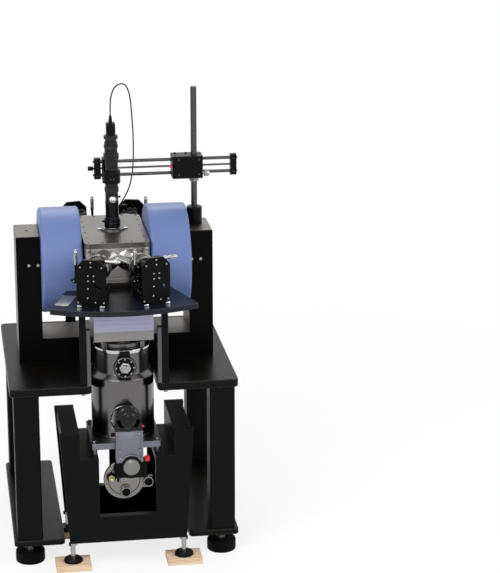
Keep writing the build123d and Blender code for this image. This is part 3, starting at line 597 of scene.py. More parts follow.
def circleSpots(count, radius, offset=0.5):
    # Evenly spaced places round a circle, as across and up
    angles = [2 * pi * (step + offset) / count for step in range(count)]
    return [(radius * cos(angle), radius * sin(angle)) for angle in angles]


def opened(piece):
    # Takes the flat ends off a turned piece
    selectFaces(piece, lambda face: abs(face.normal.z) > 0.99 and face.center.xy.length < 0.001)
    bpy.ops.mesh.delete(type="FACE")
    bpy.ops.object.mode_set(mode="OBJECT")
    return piece


def walled(piece, thickness):
    # Gives an open skin its wall, inwards
    wall = piece.modifiers.new("wall", "SOLIDIFY")
    wall.thickness = thickness
    wall.offset = -1
    bpy.ops.object.modifier_apply(modifier="wall")
    return piece


def upperPart(piece, level):
    # What stands above a level, with its cut closed
    workOn(piece)
    bpy.ops.object.mode_set(mode="EDIT")
    bpy.ops.mesh.select_all(action="SELECT")
    bpy.ops.mesh.bisect(plane_co=(0, level, 0), plane_no=(0, 1, 0), use_fill=True, clear_inner=True)
    workbench.remove(piece)
    return closeUp()


def onArm(way):
    return stationPlace @ Matrix.Rotation(radians(way), 4, "Z")


# Fasteners: one cap screw with its socket, copied wherever the real one has screws

def makeCapScrew():
    screw = turnedPiece([(0.92, 0), (1, 0.12), (1, 0.95), (0.88, 1.08)], 12)
    return bored(screw, 0.36, 0.6, fromTop=True)


def makeButtonScrew():
    screw = turnedPiece([(1, 0), (0.97, 0.2), (0.8, 0.42), (0.5, 0.55)], 12)
    return bored(screw, 0.12, 0.3, fromTop=True)


capScrew = makeCapScrew()
buttonScrew = makeButtonScrew()
print("fasteners made")


# Camera and cable

cameraView = dict(place=(-0.5168, -5.8107, 2.4409), tilt=90 - 16.37, pan=-8.81, lens=129.36)
cameraData = bpy.data.cameras.new("studioCamera")
cameraData.lens = cameraView["lens"]
cameraData.sensor_width = 36
cameraData.clip_end = 60
studioCamera = bpy.data.objects.new("studioCamera", cameraData)
bpy.context.scene.collection.objects.link(studioCamera)
studioCamera.location = cameraView["place"]
studioCamera.rotation_euler = (radians(cameraView["tilt"]), 0, radians(cameraView["pan"]))
bpy.context.scene.camera = studioCamera

cable = dict(diameter=0.004, coilY=0.308, coilInner=0.019, coilOuter=0.027, layers=3,
             turnsPerLayer=2.083, startAngle=-60, pointsPerTurn=14)
cableRoute = [
    (0, 0, 1.244), (0, 0, 1.274), (0.003, 0.002, 1.302), (0.014, 0.006, 1.327), (0.034, 0.012, 1.3354),
    (0.0485, 0.018, 1.328), (0.0585, 0.026, 1.303), (0.0625, 0.031, 1.276), (0.0655, 0.040, 1.244),
    (0.0695, 0.053, 1.196), (0.0715, 0.063, 1.146), (0.0715, 0.070, 1.096), (0.068, 0.080, 1.046),
    (0.060, 0.098, 1.004), (0.048, 0.126, 0.968), (0.035, 0.156, 0.938), (0.021, 0.186, 0.904),
    (0.010, 0.214, 0.868), (0.005, 0.238, 0.832), (0.004, 0.262, 0.806), (0.006, 0.282, 0.792),
]
cableEnd = [(0.0215, 0.331, 0.7765), (0.018, 0.3395, 0.779), (0.012, 0.342, 0.780)]


def coilPoints():
    # Three layers of two turns, out, in and out again, each a diameter below the last
    points = []
    perLayer = round(cable["turnsPerLayer"] * cable["pointsPerTurn"])
    total = perLayer * cable["layers"]
    for step in range(total + 1):
        turns = step / cable["pointsPerTurn"]
        angle = radians(cable["startAngle"]) + 2 * pi * turns
        layer, share = divmod(step / perLayer, 1)
        if layer >= cable["layers"]:
            layer, share = cable["layers"] - 1, 1.0
        outward = share if layer % 2 == 0 else 1 - share
        radius = cable["coilInner"] + (cable["coilOuter"] - cable["coilInner"]) * outward
        fall = max(0.0, (share - 0.9) / 0.1) if layer < cable["layers"] - 1 else 0.0
        height = deckTop + cable["diameter"] * (cable["layers"] - 0.5 - layer - fall)
        points.append((radius * cos(angle), cable["coilY"] + radius * sin(angle), height))
    return points


def makeCable():
    curve = bpy.data.curves.new("cameraCable", "CURVE")
    curve.dimensions = "3D"
    spline = curve.splines.new("NURBS")
    points = cableRoute + coilPoints() + cableEnd
    spline.points.add(len(points) - 1)
    for point, (x, y, z) in zip(spline.points, points):
        point.co = (stationX + x, y, z, 1)
    spline.order_u = 3
    spline.use_endpoint_u = True
    curve.bevel_depth = cable["diameter"] / 2
    curve.bevel_resolution = 3
    curve.use_fill_caps = True
    piece = bpy.data.objects.new("cameraCable", curve)
    bpy.context.scene.collection.objects.link(piece)
    curve.materials.append(finish["cableJacket"])
    return piece


cameraCable = makeCable()
print("cable laid")


# Micrometer thimbles: bored, with a scale collar, a knurled grip and a domed end

thimble = dict(radius=0.0055, length=0.043, bore=0.00405, boreDeep=0.035, gripLow=0.024, gripHigh=0.038)


def makeThimble():
    r = thimble["radius"]
    top = thimble["length"]
    grip = thimble["gripLow"]
    stations = [(r * 0.88, 0), (r * 0.97, 0.006), (r * 0.97, 0.012), (r * 0.9, 0.0125), (r * 0.9, 0.0138),
                (r * 0.97, 0.0143), (r * 0.97, grip - 0.001), (r, grip), (r, grip + 0.0045),
                (r, grip + 0.009), (r, thimble["gripHigh"]), (r * 0.92, thimble["gripHigh"] + 0.0008),
                (r * 0.8, thimble["gripHigh"] + 0.001), (r * 0.8, top - 0.001), (r * 0.66, top)]
    piece = turnedPiece(stations, 32)
    piece = knurl(piece, grip, thimble["gripHigh"], 0.00025, 0.00012)
    return bored(piece, r * 0.88 - thimble["bore"], thimble["boreDeep"])


thimbleTemplate = makeThimble()
armHeight = 0.856
xStageOut = -0.323
spindleY = xStageOut + 0.009
zThimbleFoot = (-0.049, spindleY, armHeight + 0.030)
xThimbleFoot = (0.034, spindleY, armHeight + 0.040)
for place, way in armWays.items():
    for kind, foot, direction in (("z", zThimbleFoot, upward), ("x", xThimbleFoot, (1, 0, 0))):
        nodeName = f"{place}_{kind}_thimble"
        made = put(thimbleTemplate, foot, direction, within=onArm(way))
        piece = gather(f"{nodeName}_grip", [made], nodeName, "brightSteel")
        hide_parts(nodeName)
print("thimbles made")


# Bellows between each port and its arm

bellows = dict(start=-0.238, end=-0.270, crest=0.030, root=0.0235, folds=9, wall=0.0005)


def makeBellows():
    pitch = (bellows["start"] - bellows["end"]) / bellows["folds"]
    stations = [(bellows["root"], 0.0)]
    for fold in range(bellows["folds"]):
        low = fold * pitch
        stations += [(bellows["crest"], low + pitch * 0.35), (bellows["crest"], low + pitch * 0.6),
                     (bellows["root"], low + pitch * 0.95)]
    stations.append((bellows["root"], bellows["start"] - bellows["end"]))
    piece = turnedPiece(stations, 48)
    workOn(piece)
    return walled(opened(piece), bellows["wall"])


bellowsTemplate = makeBellows()
for place, way in armWays.items():
    place3d = (0, bellows["start"], armHeight)
    made = put(bellowsTemplate, place3d, towardViewer, within=onArm(way))
    made.name = place + "_bellows"
    made.data.materials.clear()
    made.data.materials.append(finish["brightSteel"])
    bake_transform(made)
    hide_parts("probe_bellows")
print("bellows made")


# Manipulators: the screws, rails, lock knobs and clamps on each stage

manipulator = dict(plateFace=-0.352, plateScrew=0.0024, stageScrew=0.0021, knobRadius=0.0048,
                   flangeFace=-0.278, flangeBolts=0.0275)
# Across and height of each screw in the black plate that faces out
plateScrews = [(0, 0.9035), (0, 0.890), (-0.0078, 0.865), (0.0078, 0.865), (-0.0078, 0.850), (0.0078, 0.850),
               (-0.009, 0.828), (-0.010, 0.801), (-0.037, 0.7875), (0.012, 0.7885), (0.035, 0.7878),
               (-0.030, 0.889), (0.030, 0.889)]


def makeSmallKnob():
    knob = turnedPiece([(0.55, 0), (0.55, 0.5), (1, 0.55), (1, 1.6), (0.9, 1.75), (0.3, 1.75)], 24)
    return knurl(knob, 0.6, 1.55, 0.08, 0.03)


smallKnob = makeSmallKnob()
sideRail = roundedBlock((0.004, 0.086, 0.009), rounding=0.0006)
plateShoe = roundedBlock((0.013, 0.007, 0.006), rounding=0.0008)
bossBlock = roundedBlock((0.016, 0.014, 0.012), rounding=0.0008)


def dressManipulator(place, way):
    within = onArm(way)
    bright = [put(capScrew, (x, manipulator["plateFace"], z), towardViewer, scale=manipulator["plateScrew"],
                  within=within) for x, z in plateScrews]
    bright += [put(capScrew, (side * 0.026, y, deckTop + 0.016), upward, scale=0.0026, within=within)
               for side in (-1, 1) for y in (-0.258, -0.338)]
    gather(place + "_base_screws", bright, "root", "brightSteel")
    shoes = [put(plateShoe, (x, manipulator["plateFace"] - 0.0036, deckTop + 0.003), within=within)
             for x in (-0.033, 0.031)]
    gather(place + "_base_shoes", shoes, "root", "paintedGlint")

    yBody = place + "_y_stage"
    rails = [put(sideRail, (side * 0.031, -0.281, 0.8015), within=within) for side in (-1, 1)]
    rails += [put(smallKnob, (-0.033, -0.262, 0.8015), (-1, 0, 0), scale=manipulator["knobRadius"],
                  within=within)]
    gather(place + "_rails", rails, yBody, "anodizedBlack")
    heads = [put(capScrew, (side * 0.033, y, 0.8015), (side, 0, 0), scale=manipulator["stageScrew"],
                 within=within) for side in (-1, 1) for y in (-0.318, -0.300, -0.281, -0.246)]
    heads += [put(capScrew, (side * 0.021, y, 0.8103), upward, scale=0.0024, within=within)
              for side in (-1, 1) for y in (-0.272, -0.244)]
    gather(place + "_rail_screws", heads, yBody, "brightSteel")

    xBody = place + "_x_stage"
    blocks = [put(bossBlock, (-0.049, spindleY, armHeight - 0.016), within=within),
              put(bossBlock, (-0.036, spindleY + 0.004, 0.8225), within=within, scale=0.8),
              put(smallKnob, (0.030, -0.303, 0.8195), (1, 0, 0), scale=0.0042, within=within),
              put(smallKnob, (-0.057, spindleY, armHeight - 0.016), (-1, 0, 0), scale=0.0036, within=within)]
    gather(place + "_stage_blocks", blocks, xBody, "anodizedBlack")
    heads = [put(capScrew, (side * 0.030, y, 0.8195), (side, 0, 0), scale=manipulator["stageScrew"],
                 within=within) for side in (-1, 1) for y in (-0.318, -0.288)]
    heads += [put(capScrew, (side * 0.015, xStageOut + 0.009, 0.890), upward, scale=0.0024, within=within)
              for side in (-1, 0)]
    heads += [put(capScrew, (side * 0.025, -0.2865, 0.8286), upward, scale=0.0022, within=within)
              for side in (-1, 1)]
    heads += [put(capScrew, (-0.049 + dx, xStageOut + 0.002, armHeight - 0.016), towardViewer, scale=0.0018,
                  within=within) for dx in (-0.005, 0.005)]
    gather(place + "_stage_screws", heads, xBody, "brightSteel")

    armBody = place + "_arm"
    heads = [put(capScrew, (side * 0.022, -0.297, z), (side, 0, 0), scale=manipulator["stageScrew"],
                 within=within) for side in (-1, 1) for z in (0.840, 0.856, 0.878)]
    heads += [put(capScrew, (side * 0.016, -0.2965, 0.886), upward, scale=0.0024, within=within)
              for side in (-1, 1)]
    for across, up in circleSpots(8, manipulator["flangeBolts"]):
        heads.append(put(capScrew, (across, manipulator["flangeFace"], armHeight + up), towardViewer,
                         scale=0.0022, within=within))
    gather(place + "_arm_screws", heads, armBody, "brightSteel")


for place, way in armWays.items():
    dressManipulator(place, way)
print("manipulators dressed")


# Chamber: lid and front screws, port bolts and flared port roots, viewport lugs and the shroud's beads

chamber = dict(lidScrew=0.0026, portBolts=8, portRadius=0.0345, portFace=-0.226, viewportBolts=0.0315)


def dressChamber():
    dark = [put(buttonScrew, (sx * 0.082, sy, lidTop), scale=chamber["lidScrew"])
            for sx in (-1, 1) for sy in (-0.150, -0.092, -0.032, 0.032, 0.092, 0.150)]
    dark += [put(buttonScrew, (sx, sy * 0.152, lidTop), scale=chamber["lidScrew"])
             for sx in (-0.042, 0.042) for sy in (-1, 1)]
    gather("lid_screws", dark, "root", "darkSteel")
    heads = []
    for way in armWays.values():
        for across, up in circleSpots(chamber["portBolts"], chamber["portRadius"]):
            heads.append(put(capScrew, (across, chamber["portFace"], armHeight + up), (0, 1, 0), scale=0.0021,
                             within=onArm(way)))
    gather("port_bolts", heads, "root", "brightSteel")
    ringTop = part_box("chamber_lid")[1].z
    lug = roundedBlock((0.012, 0.014, 0.005), rounding=0.0015)
    parts = [put(lug, (side * 0.0385, -0.003, ringTop - 0.0018)) for side in (-1, 1)]
    for across, along in circleSpots(8, chamber["viewportBolts"]):
        parts.append(put(capScrew, (across, along, ringTop - 0.0012), scale=0.0018))
    gather("viewport_lugs", parts, "root", "brightSteel")
    # A flat black disc on the chamber's front stands in for the dark inside an open port hole: painted shade
    plug = turnedPiece([(0.0085, 0), (0.0085, 0.0012), (0.0062, 0.0014), (0.006, 0.0006)], 24)
    gather("port_hole_painted_shade", [put(plug, (-0.062, chamberFront, 0.8785), towardViewer)], "root",
           "rubber")
    small = [put(capScrew, (x, chamberFront, 0.884), towardViewer, scale=0.002)
             for x in (-0.084, -0.018, 0.018, 0.072, 0.084)]
    gather("chamber_front_screws", small, "root", "darkSteel")


portRoot = dict(start=-0.158, end=-0.2255, wide=0.046, high=0.0348, tip=0.0339, wall=0.0011, steps=7)


def makePortRoot():
    # A flared root: wide where it leaves the chamber's wall, round where the port's flange begins
    startFresh()
    bpy.ops.mesh.primitive_circle_add(vertices=64, radius=portRoot["tip"], fill_type="NGON")
    bpy.ops.object.mode_set(mode="EDIT")
    bpy.ops.mesh.select_all(action="SELECT")
    wide, high = portRoot["wide"], portRoot["high"]
    bpy.ops.transform.resize(value=(wide / portRoot["tip"], high / portRoot["tip"], 1))
    length = portRoot["start"] - portRoot["end"]
    for step in range(1, portRoot["steps"] + 1):
        share = (1 - step / portRoot["steps"]) ** 1.6
        newWide = portRoot["tip"] + (portRoot["wide"] - portRoot["tip"]) * share
        newHigh = portRoot["tip"] + (portRoot["high"] - portRoot["tip"]) * share
        bpy.ops.mesh.extrude_region_move(TRANSFORM_OT_translate={"value": (0, 0, length / portRoot["steps"])})
        bpy.ops.transform.resize(value=(newWide / wide, newHigh / high, 1))
        wide, high = newWide, newHigh
    return walled(opened(closeUp()), portRoot["wall"])


shroudRows = dict(count=7, tall=0.0034, deep=0.0043, proud=0.0003)


def fillShroudGrooves():
    # A fine bead in each groove of the shroud's front
    rowStep = (shroudHigh.z - shroudLow.z) / shroudRows["count"]
    beadY = shroudLow.y - shroudRows["proud"] + shroudRows["deep"] / 2
    wide = shroudHigh.x - shroudLow.x - 0.0004
    bead = roundedBlock((wide, shroudRows["deep"], shroudRows["tall"]), rounding=0.0004)
    beads = [put(bead, (0, beadY, shroudLow.z + rowStep * (row + 0.5))) for row in range(shroudRows["count"])]
    gather("shroud_beads", beads, "root", "shroudLavender")


dressChamber()
fillShroudGrooves()
rootTemplate = makePortRoot()
roots = [put(rootTemplate, (0, portRoot["start"], armHeight), towardViewer, within=onArm(way))
         for way in armWays.values()]
gather("port_roots", roots, "root", "portSteel")
print("chamber dressed")


# Magnet: the bolts through the yoke's uprights

yoke = dict(front=-0.075, boltHeight=0.828, boltRadius=0.0045, boltsX=(-0.249, -0.223, 0.223, 0.249))
heads = [put(capScrew, (x, sign * yoke["front"], yoke["boltHeight"]), (0, -sign, 0), scale=yoke["boltRadius"])
         for x in yoke["boltsX"] for sign in (1, -1)]
gather("yoke_bolts", heads, "root", "brightSteel")


# Deck: the bare plate with its four screws

nameplate = dict(width=0.040, length=0.096, thick=0.0012, middle=(-0.158, -0.265), turn=-18)


def makeNameplate():
    size = (nameplate["width"], nameplate["length"], nameplate["thick"])
    plate = roundedBlock(size, rounding=0.0004)
    x, y = nameplate["middle"]
    turned = Matrix.Rotation(radians(nameplate["turn"]), 4, "Z")
    within = stationPlace @ Matrix.Translation((x, y, deckTop)) @ turned
    made = put(plate, (0, 0, nameplate["thick"] / 2), within=within)
    gather("bare_plate", [made], "root", "bareNameplate")
    heads = [put(buttonScrew, (sx * 0.016, sy * 0.0435, nameplate["thick"]), scale=0.0019, within=within)
             for sx in (-1, 1) for sy in (-1, 1)]
    gather("bare_plate_screws", heads, "root", "brightSteel")


makeNameplate()


# Table: the bolt heads that show under the front tabs

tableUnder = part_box("table_top")[0].z
heads = [put(capScrew, (x, -0.308, tableUnder), (0, 0, -1), scale=0.0055) for x in (-0.117, 0.117)]
gather("tab_bolts", heads, "root", "brightSteel")


# Dewar: weld beads, neck rim, neck clamps' screws and the relief port with its bolt circle

dewar = dict(y=-0.232, lowRadius=0.090, upRadius=0.079, shoulder=0.548, bottom=0.366, top=0.634, portZ=0.590,
             portBolts=0.0245, portReach=0.022)


def dressDewar():
    middle = (0, dewar["y"], 0)
    beads = []
    for radius, height, size in ((dewar["lowRadius"], dewar["shoulder"] - 0.002, 0.0016),
                                 (dewar["upRadius"], dewar["shoulder"] + 0.013, 0.0013),
                                 (dewar["lowRadius"], dewar["bottom"] + 0.010, 0.0016)):
        startFresh()
        bpy.ops.mesh.primitive_torus_add(major_radius=radius, minor_radius=size, major_segments=96,
                                         minor_segments=10, location=(0, 0, height))
        bead = settle()
        bpy.ops.object.shade_smooth()
        workbench.append(bead)
        beads.append(put(bead, middle))
    rim = turnedRing(dewar["upRadius"] - 0.010, dewar["upRadius"] + 0.003, dewar["top"] - 0.010, dewar["top"],
                     0.0012, 96)
    gather("dewar_beads", beads, "root", "polishedSteel")
    gather("neck_rim", [put(rim, middle)], "root", "portSteel")
    heads = []
    for across, along in circleSpots(4, dewar["upRadius"] - 0.010):
        heads.append(put(capScrew, (across, dewar["y"] + along, dewar["top"] + 0.018), scale=0.004))
    gather("neck_clamp_screws", heads, "root", "brightSteel")
    face = dewar["y"] - dewar["upRadius"] - dewar["portReach"]
    ring = turnedRing(0.0295, 0.0325, 0, 0.004, 0.0005, 64)
    gather("relief_port_seal", [put(ring, (0, face + 0.006, dewar["portZ"]), towardViewer)], "root",
           "rubber")
    well = turnedPiece([(0.0278, 0), (0.0278, 0.0012), (0.0265, 0.0016), (0.0255, 0.0008)], 56)
    gather("relief_port_well", [put(well, (0, face + 0.0004, dewar["portZ"]), towardViewer)], "root",
           "anodizedBlack")
    parts = []
    for across, up in circleSpots(8, dewar["portBolts"], 0):
        parts.append(put(capScrew, (across, face, dewar["portZ"] + up), towardViewer, scale=0.0024))
    hub = turnedPiece([(0.0165, 0), (0.0165, 0.004), (0.0125, 0.0045), (0.0125, 0.010), (0.0105, 0.012),
                       (0.0105, 0.016), (0.006, 0.0165), (0.006, 0.020)], 6)
    parts.append(put(hub, (0, face, dewar["portZ"]), towardViewer, turn=0.4))
    cross = roundedBlock((0.030, 0.007, 0.006), rounding=0.001)
    parts.append(put(cross, (0, face - 0.003, dewar["portZ"]), towardViewer, turn=0.9))
    parts.append(put(cross, (0, face - 0.003, dewar["portZ"]), towardViewer, turn=-0.5))
    gather("relief_port_valve", parts, "root", "brightSteel")
    tag = roundedBlock((0.030, 0.010, 0.016), rounding=0.0012)
    gather("relief_port_block", [put(tag, (0, face + 0.010, dewar["portZ"] + 0.036))], "root",
           "anodizedBlack")
    plateTop = dewar["bottom"]
    corners = [put(capScrew, (sx * 0.090, dewar["y"] + sy * 0.086, plateTop), scale=0.0055)
               for sx in (-1, 1) for sy in (-1, 1)]
    gather("mount_plate_bolts", corners, "root", "brightSteel")


dressDewar()
print("dewar dressed")


# Valve in front of the dewar: flange, black housing, bare block, drum and red button

valve = dict(back=-0.338, front=-0.362, left=-0.033, right=0.045, housingRight=0.041, top=0.481, seam=0.4105,
             low=0.316, flange=(-0.008, 0.440), flangeR=0.039, drum=(0.011, 0.301), drumR=0.033,
             barWide=0.0055, browCut=0.016,
             flangeBolts=((-0.0405, 0.4365), (-0.0395, 0.4155), (-0.0335, 0.4600), (0.0285, 0.4300)))


def makeValve():
    back, front, left, right = valve["back"], valve["front"], valve["left"], valve["right"]
    depth = back - front
    middleY = (back + front) / 2
    flangeX, flangeZ = valve["flange"]
    radius = valve["flangeR"]
    flange = turnedPiece([(0.020, -0.024), (0.020, 0), (radius - 0.001, 0.0002), (radius, 0.001),
                          (radius, 0.0068), (radius - 0.0012, 0.008)], 56)
    parts = [put(flange, (flangeX, back + 0.008, flangeZ), towardViewer)]
    steel = gather("valve_flange", parts, "root", "flangeSteel")
    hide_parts("valve_body")
    seal = turnedRing(radius - 0.0055, radius - 0.002, 0, 0.0012, 0.0003, 56)
    gather("valve_seal", [put(seal, (flangeX, back + 0.0004, flangeZ), towardViewer)], "root", "rubber")
    bolts = [put(capScrew, (x, back, z), towardViewer, scale=0.0028) for x, z in valve["flangeBolts"]]
    gather("valve_bolts", bolts, "root", "brightSteel")

    housingX = (left + valve["housingRight"]) / 2
    housingWide = valve["housingRight"] - left
    low = roundedBlock((housingWide, depth, 0.036), rounding=0.0025)
    crown = turnedPiece([(housingWide / 2 - 0.0015, 0), (housingWide / 2, 0.0015),
                         (housingWide / 2, depth - 0.004), (housingWide / 2 - 0.004, depth)], 64)
    dome = turnedPiece([(0.0225, 0), (0.0225, 0.0016), (0.0195, 0.0038), (0.0135, 0.0052),
                        (0.006, 0.0058)], 48)
    base = roundedBlock((housingWide + 0.003, depth + 0.002, 0.012), rounding=0.0022)
    parts = [put(low, (housingX, middleY, valve["seam"] + 0.019)),
             put(crown, (housingX, back, valve["top"] - housingWide / 2), towardViewer),
             put(dome, (housingX, front + 0.0004, valve["top"] - housingWide / 2), towardViewer),
             put(base, (housingX, middleY, valve["seam"] + 0.006))]
    gather("valve_housing", parts, "root", "glossBlack")

    blockHigh = valve["seam"] - valve["low"]
    blockX = (left + right) / 2
    blockZ = (valve["seam"] + valve["low"]) / 2
    core = roundedBlock((right - left - 0.005, depth - 0.004, blockHigh - 0.002), rounding=0.001)
    sideBar = roundedBlock((valve["barWide"], depth, blockHigh), rounding=0.0012)
    lowBar = roundedBlock((right - left - 0.010, depth, 0.012), rounding=0.0012)
    brow = turnedRing(valve["drumR"] + 0.0008, valve["drumR"] + 0.0048, 0, depth - 0.001, 0.0006, 72)
    brow = upperPart(brow, valve["browCut"])
    parts = [put(core, (blockX, middleY + 0.002, blockZ)),
             put(sideBar, (left + valve["barWide"] / 2, middleY, blockZ)),
             put(sideBar, (right - valve["barWide"] / 2, middleY, blockZ)),
             put(lowBar, (blockX, middleY, valve["low"] + 0.006))]
    gather("valve_block", parts, "root", "plateAluminium")
    x, z = valve["drum"]
    gather("valve_brow", [put(brow, (x, back, z), towardViewer)], "root", "plateAluminium")

    drumR = valve["drumR"]
    drum = turnedPiece([(drumR - 0.002, 0), (drumR, 0.002), (drumR, depth - 0.001),
                        (drumR - 0.002, depth + 0.0015), (0.0255, depth + 0.002), (0.0245, depth - 0.001),
                        (0.012, depth - 0.0012)], 56)
    body = roundedBlock((0.096, depth - 0.006, 0.062), rounding=0.010, segments=4)
    foot = roundedBlock((0.006, 0.010, 0.024), rounding=0.001)
    knob = turnedPiece([(0.004, 0), (0.004, 0.004), (0.0055, 0.005), (0.0055, 0.012), (0.0045, 0.013)], 24)
    parts = [put(drum, (x, back, z), towardViewer), put(body, (x, middleY + 0.003, z - 0.006)),
             put(foot, (x - 0.039, front + 0.004, z - 0.030)),
             put(knob, (left + 0.001, middleY, valve["seam"] - 0.012), (-1, 0, 0))]
    gather("valve_drum", parts, "root", "anodizedBlack")
    disc = turnedPiece([(0.0235, 0), (0.0235, 0.0016), (0.0225, 0.0022), (0.006, 0.0023)], 48)
    parts = [put(disc, (x, front + 0.001, z), towardViewer)]
    lip = roundedBlock((0.034, 0.008, 0.018), rounding=0.0015)
    parts.append(put(lip, (x - 0.016, middleY, z - 0.0425)))
    gather("valve_drum_disc", parts, "root", "flangeSteel")
    heads = [put(capScrew, (px, front + 0.002, pz), towardViewer, scale=0.0026)
             for px, pz in ((-0.022, 0.402), (0.034, 0.402), (-0.022, 0.352), (0.036, 0.352))]
    gather("valve_block_screws", heads, "root", "brightSteel")
    button = turnedPiece([(0.0035, 0), (0.0035, 0.007), (0.003, 0.0082), (0.0015, 0.0085)], 20)
    gather("valve_button", [put(button, (valve["housingRight"], middleY, 0.4205), (1, 0, 0))], "root",
           "redPlastic")


makeValve()


# Flange with the connectors under the valve

feedFlange = dict(x=-0.008, z=0.253, face=-0.330, radius=0.0585, thick=0.010, boltCircle=0.0525)


def dressFeedFlange():
    x, z, face, radius = feedFlange["x"], feedFlange["z"], feedFlange["face"], feedFlange["radius"]
    disc = turnedPiece([(0.030, -0.080), (0.030, 0), (radius - 0.001, 0.0002), (radius, 0.0012),
                        (radius, feedFlange["thick"] - 0.0012), (radius - 0.0012, feedFlange["thick"])], 72)
    backFace = face + feedFlange["thick"]
    wing = roundedBlock((0.046, 0.006, 0.040), rounding=0.003, segments=3)
    parts = [put(disc, (x, backFace, z), towardViewer), put(wing, (0.054, face + 0.0045, 0.2445))]
    flange = gather("feed_flange", parts, "root", "flangeSteel")
    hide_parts("electrical_flange")
    seal = turnedRing(radius - 0.0145, radius - 0.0125, 0, 0.0012, 0.0003, 64)
    gather("feed_flange_seal", [put(seal, (x, face + 0.0004, z), towardViewer)], "root", "rubber")
    # Three of the ten bolts, at the lower left
    bolts = [put(capScrew, (x + across, face, z + up), towardViewer, scale=0.0032)
             for across, up in circleSpots(10, feedFlange["boltCircle"])[5:8]]
    gather("feed_flange_bolts", bolts, "root", "brightSteel")
    connector = turnedPiece([(0.0165, 0), (0.0165, 0.004), (0.0145, 0.0045), (0.0145, 0.007),
                             (0.0158, 0.0075), (0.0158, 0.0145), (0.0145, 0.016)], 32)
    connector = knurl(connector, 0.0076, 0.0144, 0.0005, 0.0003)
    connector = bored(connector, 0.0024, 0.009, fromTop=True)
    spots = [(x + 0.004, face + 0.001, 0.2195), (0.060, face - 0.0005, 0.2485)]
    gather("connector_shells", [put(connector, spot, towardViewer) for spot in spots], "root", "flangeSteel")
    core = turnedPiece([(0.0119, 0), (0.0119, 0.0008), (0.004, 0.001)], 24)
    cores = [put(core, (sx, sy - 0.0073, sz), towardViewer) for sx, sy, sz in spots]
    gather("connector_cores", cores, "root", "rubber")
    socket = turnedPiece([(0.0150, 0), (0.0150, 0.003), (0.014, 0.004), (0.010, 0.0042)], 6)
    fitting = turnedPiece([(0.0098, 0), (0.0098, 0.010), (0.0088, 0.0112), (0.0062, 0.0114), (0.0062, 0.0235),
                           (0.0052, 0.0245)], 6)
    at = (x - 0.037, face, 0.2635)
    gather("fitting_seat", [put(socket, at, towardViewer)], "root", "anodizedBlack")
    gather("gold_fitting", [put(fitting, (at[0], face - 0.002, at[2]), towardViewer)], "root", "brass")


dressFeedFlange()
print("valve and feed flange made")


# Stand: top screws, and the plate between its walls

stand = dict(screwX=0.160, screwY=-0.107, floorSize=(0.300, 0.262, 0.012), floorMiddle=(0, -0.226, 0.083))
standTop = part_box("cryostat_stand")[1].z
heads = [put(buttonScrew, (side * stand["screwX"], stand["screwY"], standTop), scale=0.0032)
         for side in (-1, 1)]
gather("stand_screws", heads, "root", "darkSteel")
standFloor = roundedBlock(stand["floorSize"], rounding=0.002)
gather("stand_floor", [put(standFloor, stand["floorMiddle"])], "root", "satinBlack")


# Boom: clamp screws, red knob, chrome knob and the bracket screws

boom = dict(rodY=0.038, high=1.101, low=1.061, postX=0.243, clampLeft=0.178, clampRight=0.267,
            clampFront=-0.008, clampTop=1.118, collarFront=0.0005)


def dressBoom():
    heads = [put(capScrew, (x, boom["clampFront"], z), towardViewer, scale=0.003)
             for x in (0.196, 0.256) for z in (1.108, 1.064)]
    heads += [put(capScrew, (x, boom["rodY"], boom["clampTop"]), upward, scale=0.003) for x in (0.190, 0.222)]
    gather("clamp_screws", heads, "boom", "darkSteel")
    redKnob = turnedPiece([(0.0028, 0), (0.0028, 0.002), (0.0045, 0.0025), (0.0045, 0.0075),
                           (0.0035, 0.009)], 24)
    gather("clamp_red_knob", [put(redKnob, (boom["clampLeft"], 0.002, 1.089), (-1, 0, 0))], "boom",
           "redPlastic")
    knob = turnedPiece([(0.0049, 0), (0.0049, 0.004), (0.0090, 0.0042), (0.0104, 0.0055), (0.0104, 0.0165),
                        (0.0094, 0.0185), (0.0045, 0.0197)], 40)
    knob = knurl(knob, 0.0056, 0.0164, 0.0006, 0.0003)
    made = put(knob, (boom["clampRight"] + 0.0003, 0.008, 1.064), (1, 0, 0))
    piece = gather("clamp_turn_knob", [made], "clamp_knob", "brightSteel")
    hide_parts("clamp_knob")
    heads = [put(capScrew, (boom["postX"] - 0.006, boom["collarFront"], 1.0465), towardViewer, scale=0.0022)]
    gather("collar_screw", heads, "post_collar", "darkSteel")
    heads = []
    for x, direction in ((rodHigh.x - stationX, 1), (rodLow.x - stationX, -1)):
        for z in (boom["high"], boom["low"]):
            heads.append(put(capScrew, (x, boom["rodY"], z), (direction, 0, 0), scale=0.0032))
    for x in (0.3615, -0.0375):
        for z in (boom["high"], boom["low"]):
            heads.append(put(capScrew, (x, boom["rodY"] - 0.011, z), towardViewer, scale=0.0024))
    gather("bracket_screws", heads, "boom", "darkSteel")


dressBoom()


# Microscope: knurled rings, side lens, thumb screws, ring light and camera details

microscope = dict(tube=0.0168, knurlFrom=0.009, lensHeight=1.003, knobHeight=1.004, lampHeight=0.932,
                  rings=((1.177, 1.187, 0.0205), (1.150, 1.160, 0.0205), (1.020, 1.034, 0.0205),
                         (0.984, 0.992, 0.0200), (0.938, 0.944, 0.0215)))


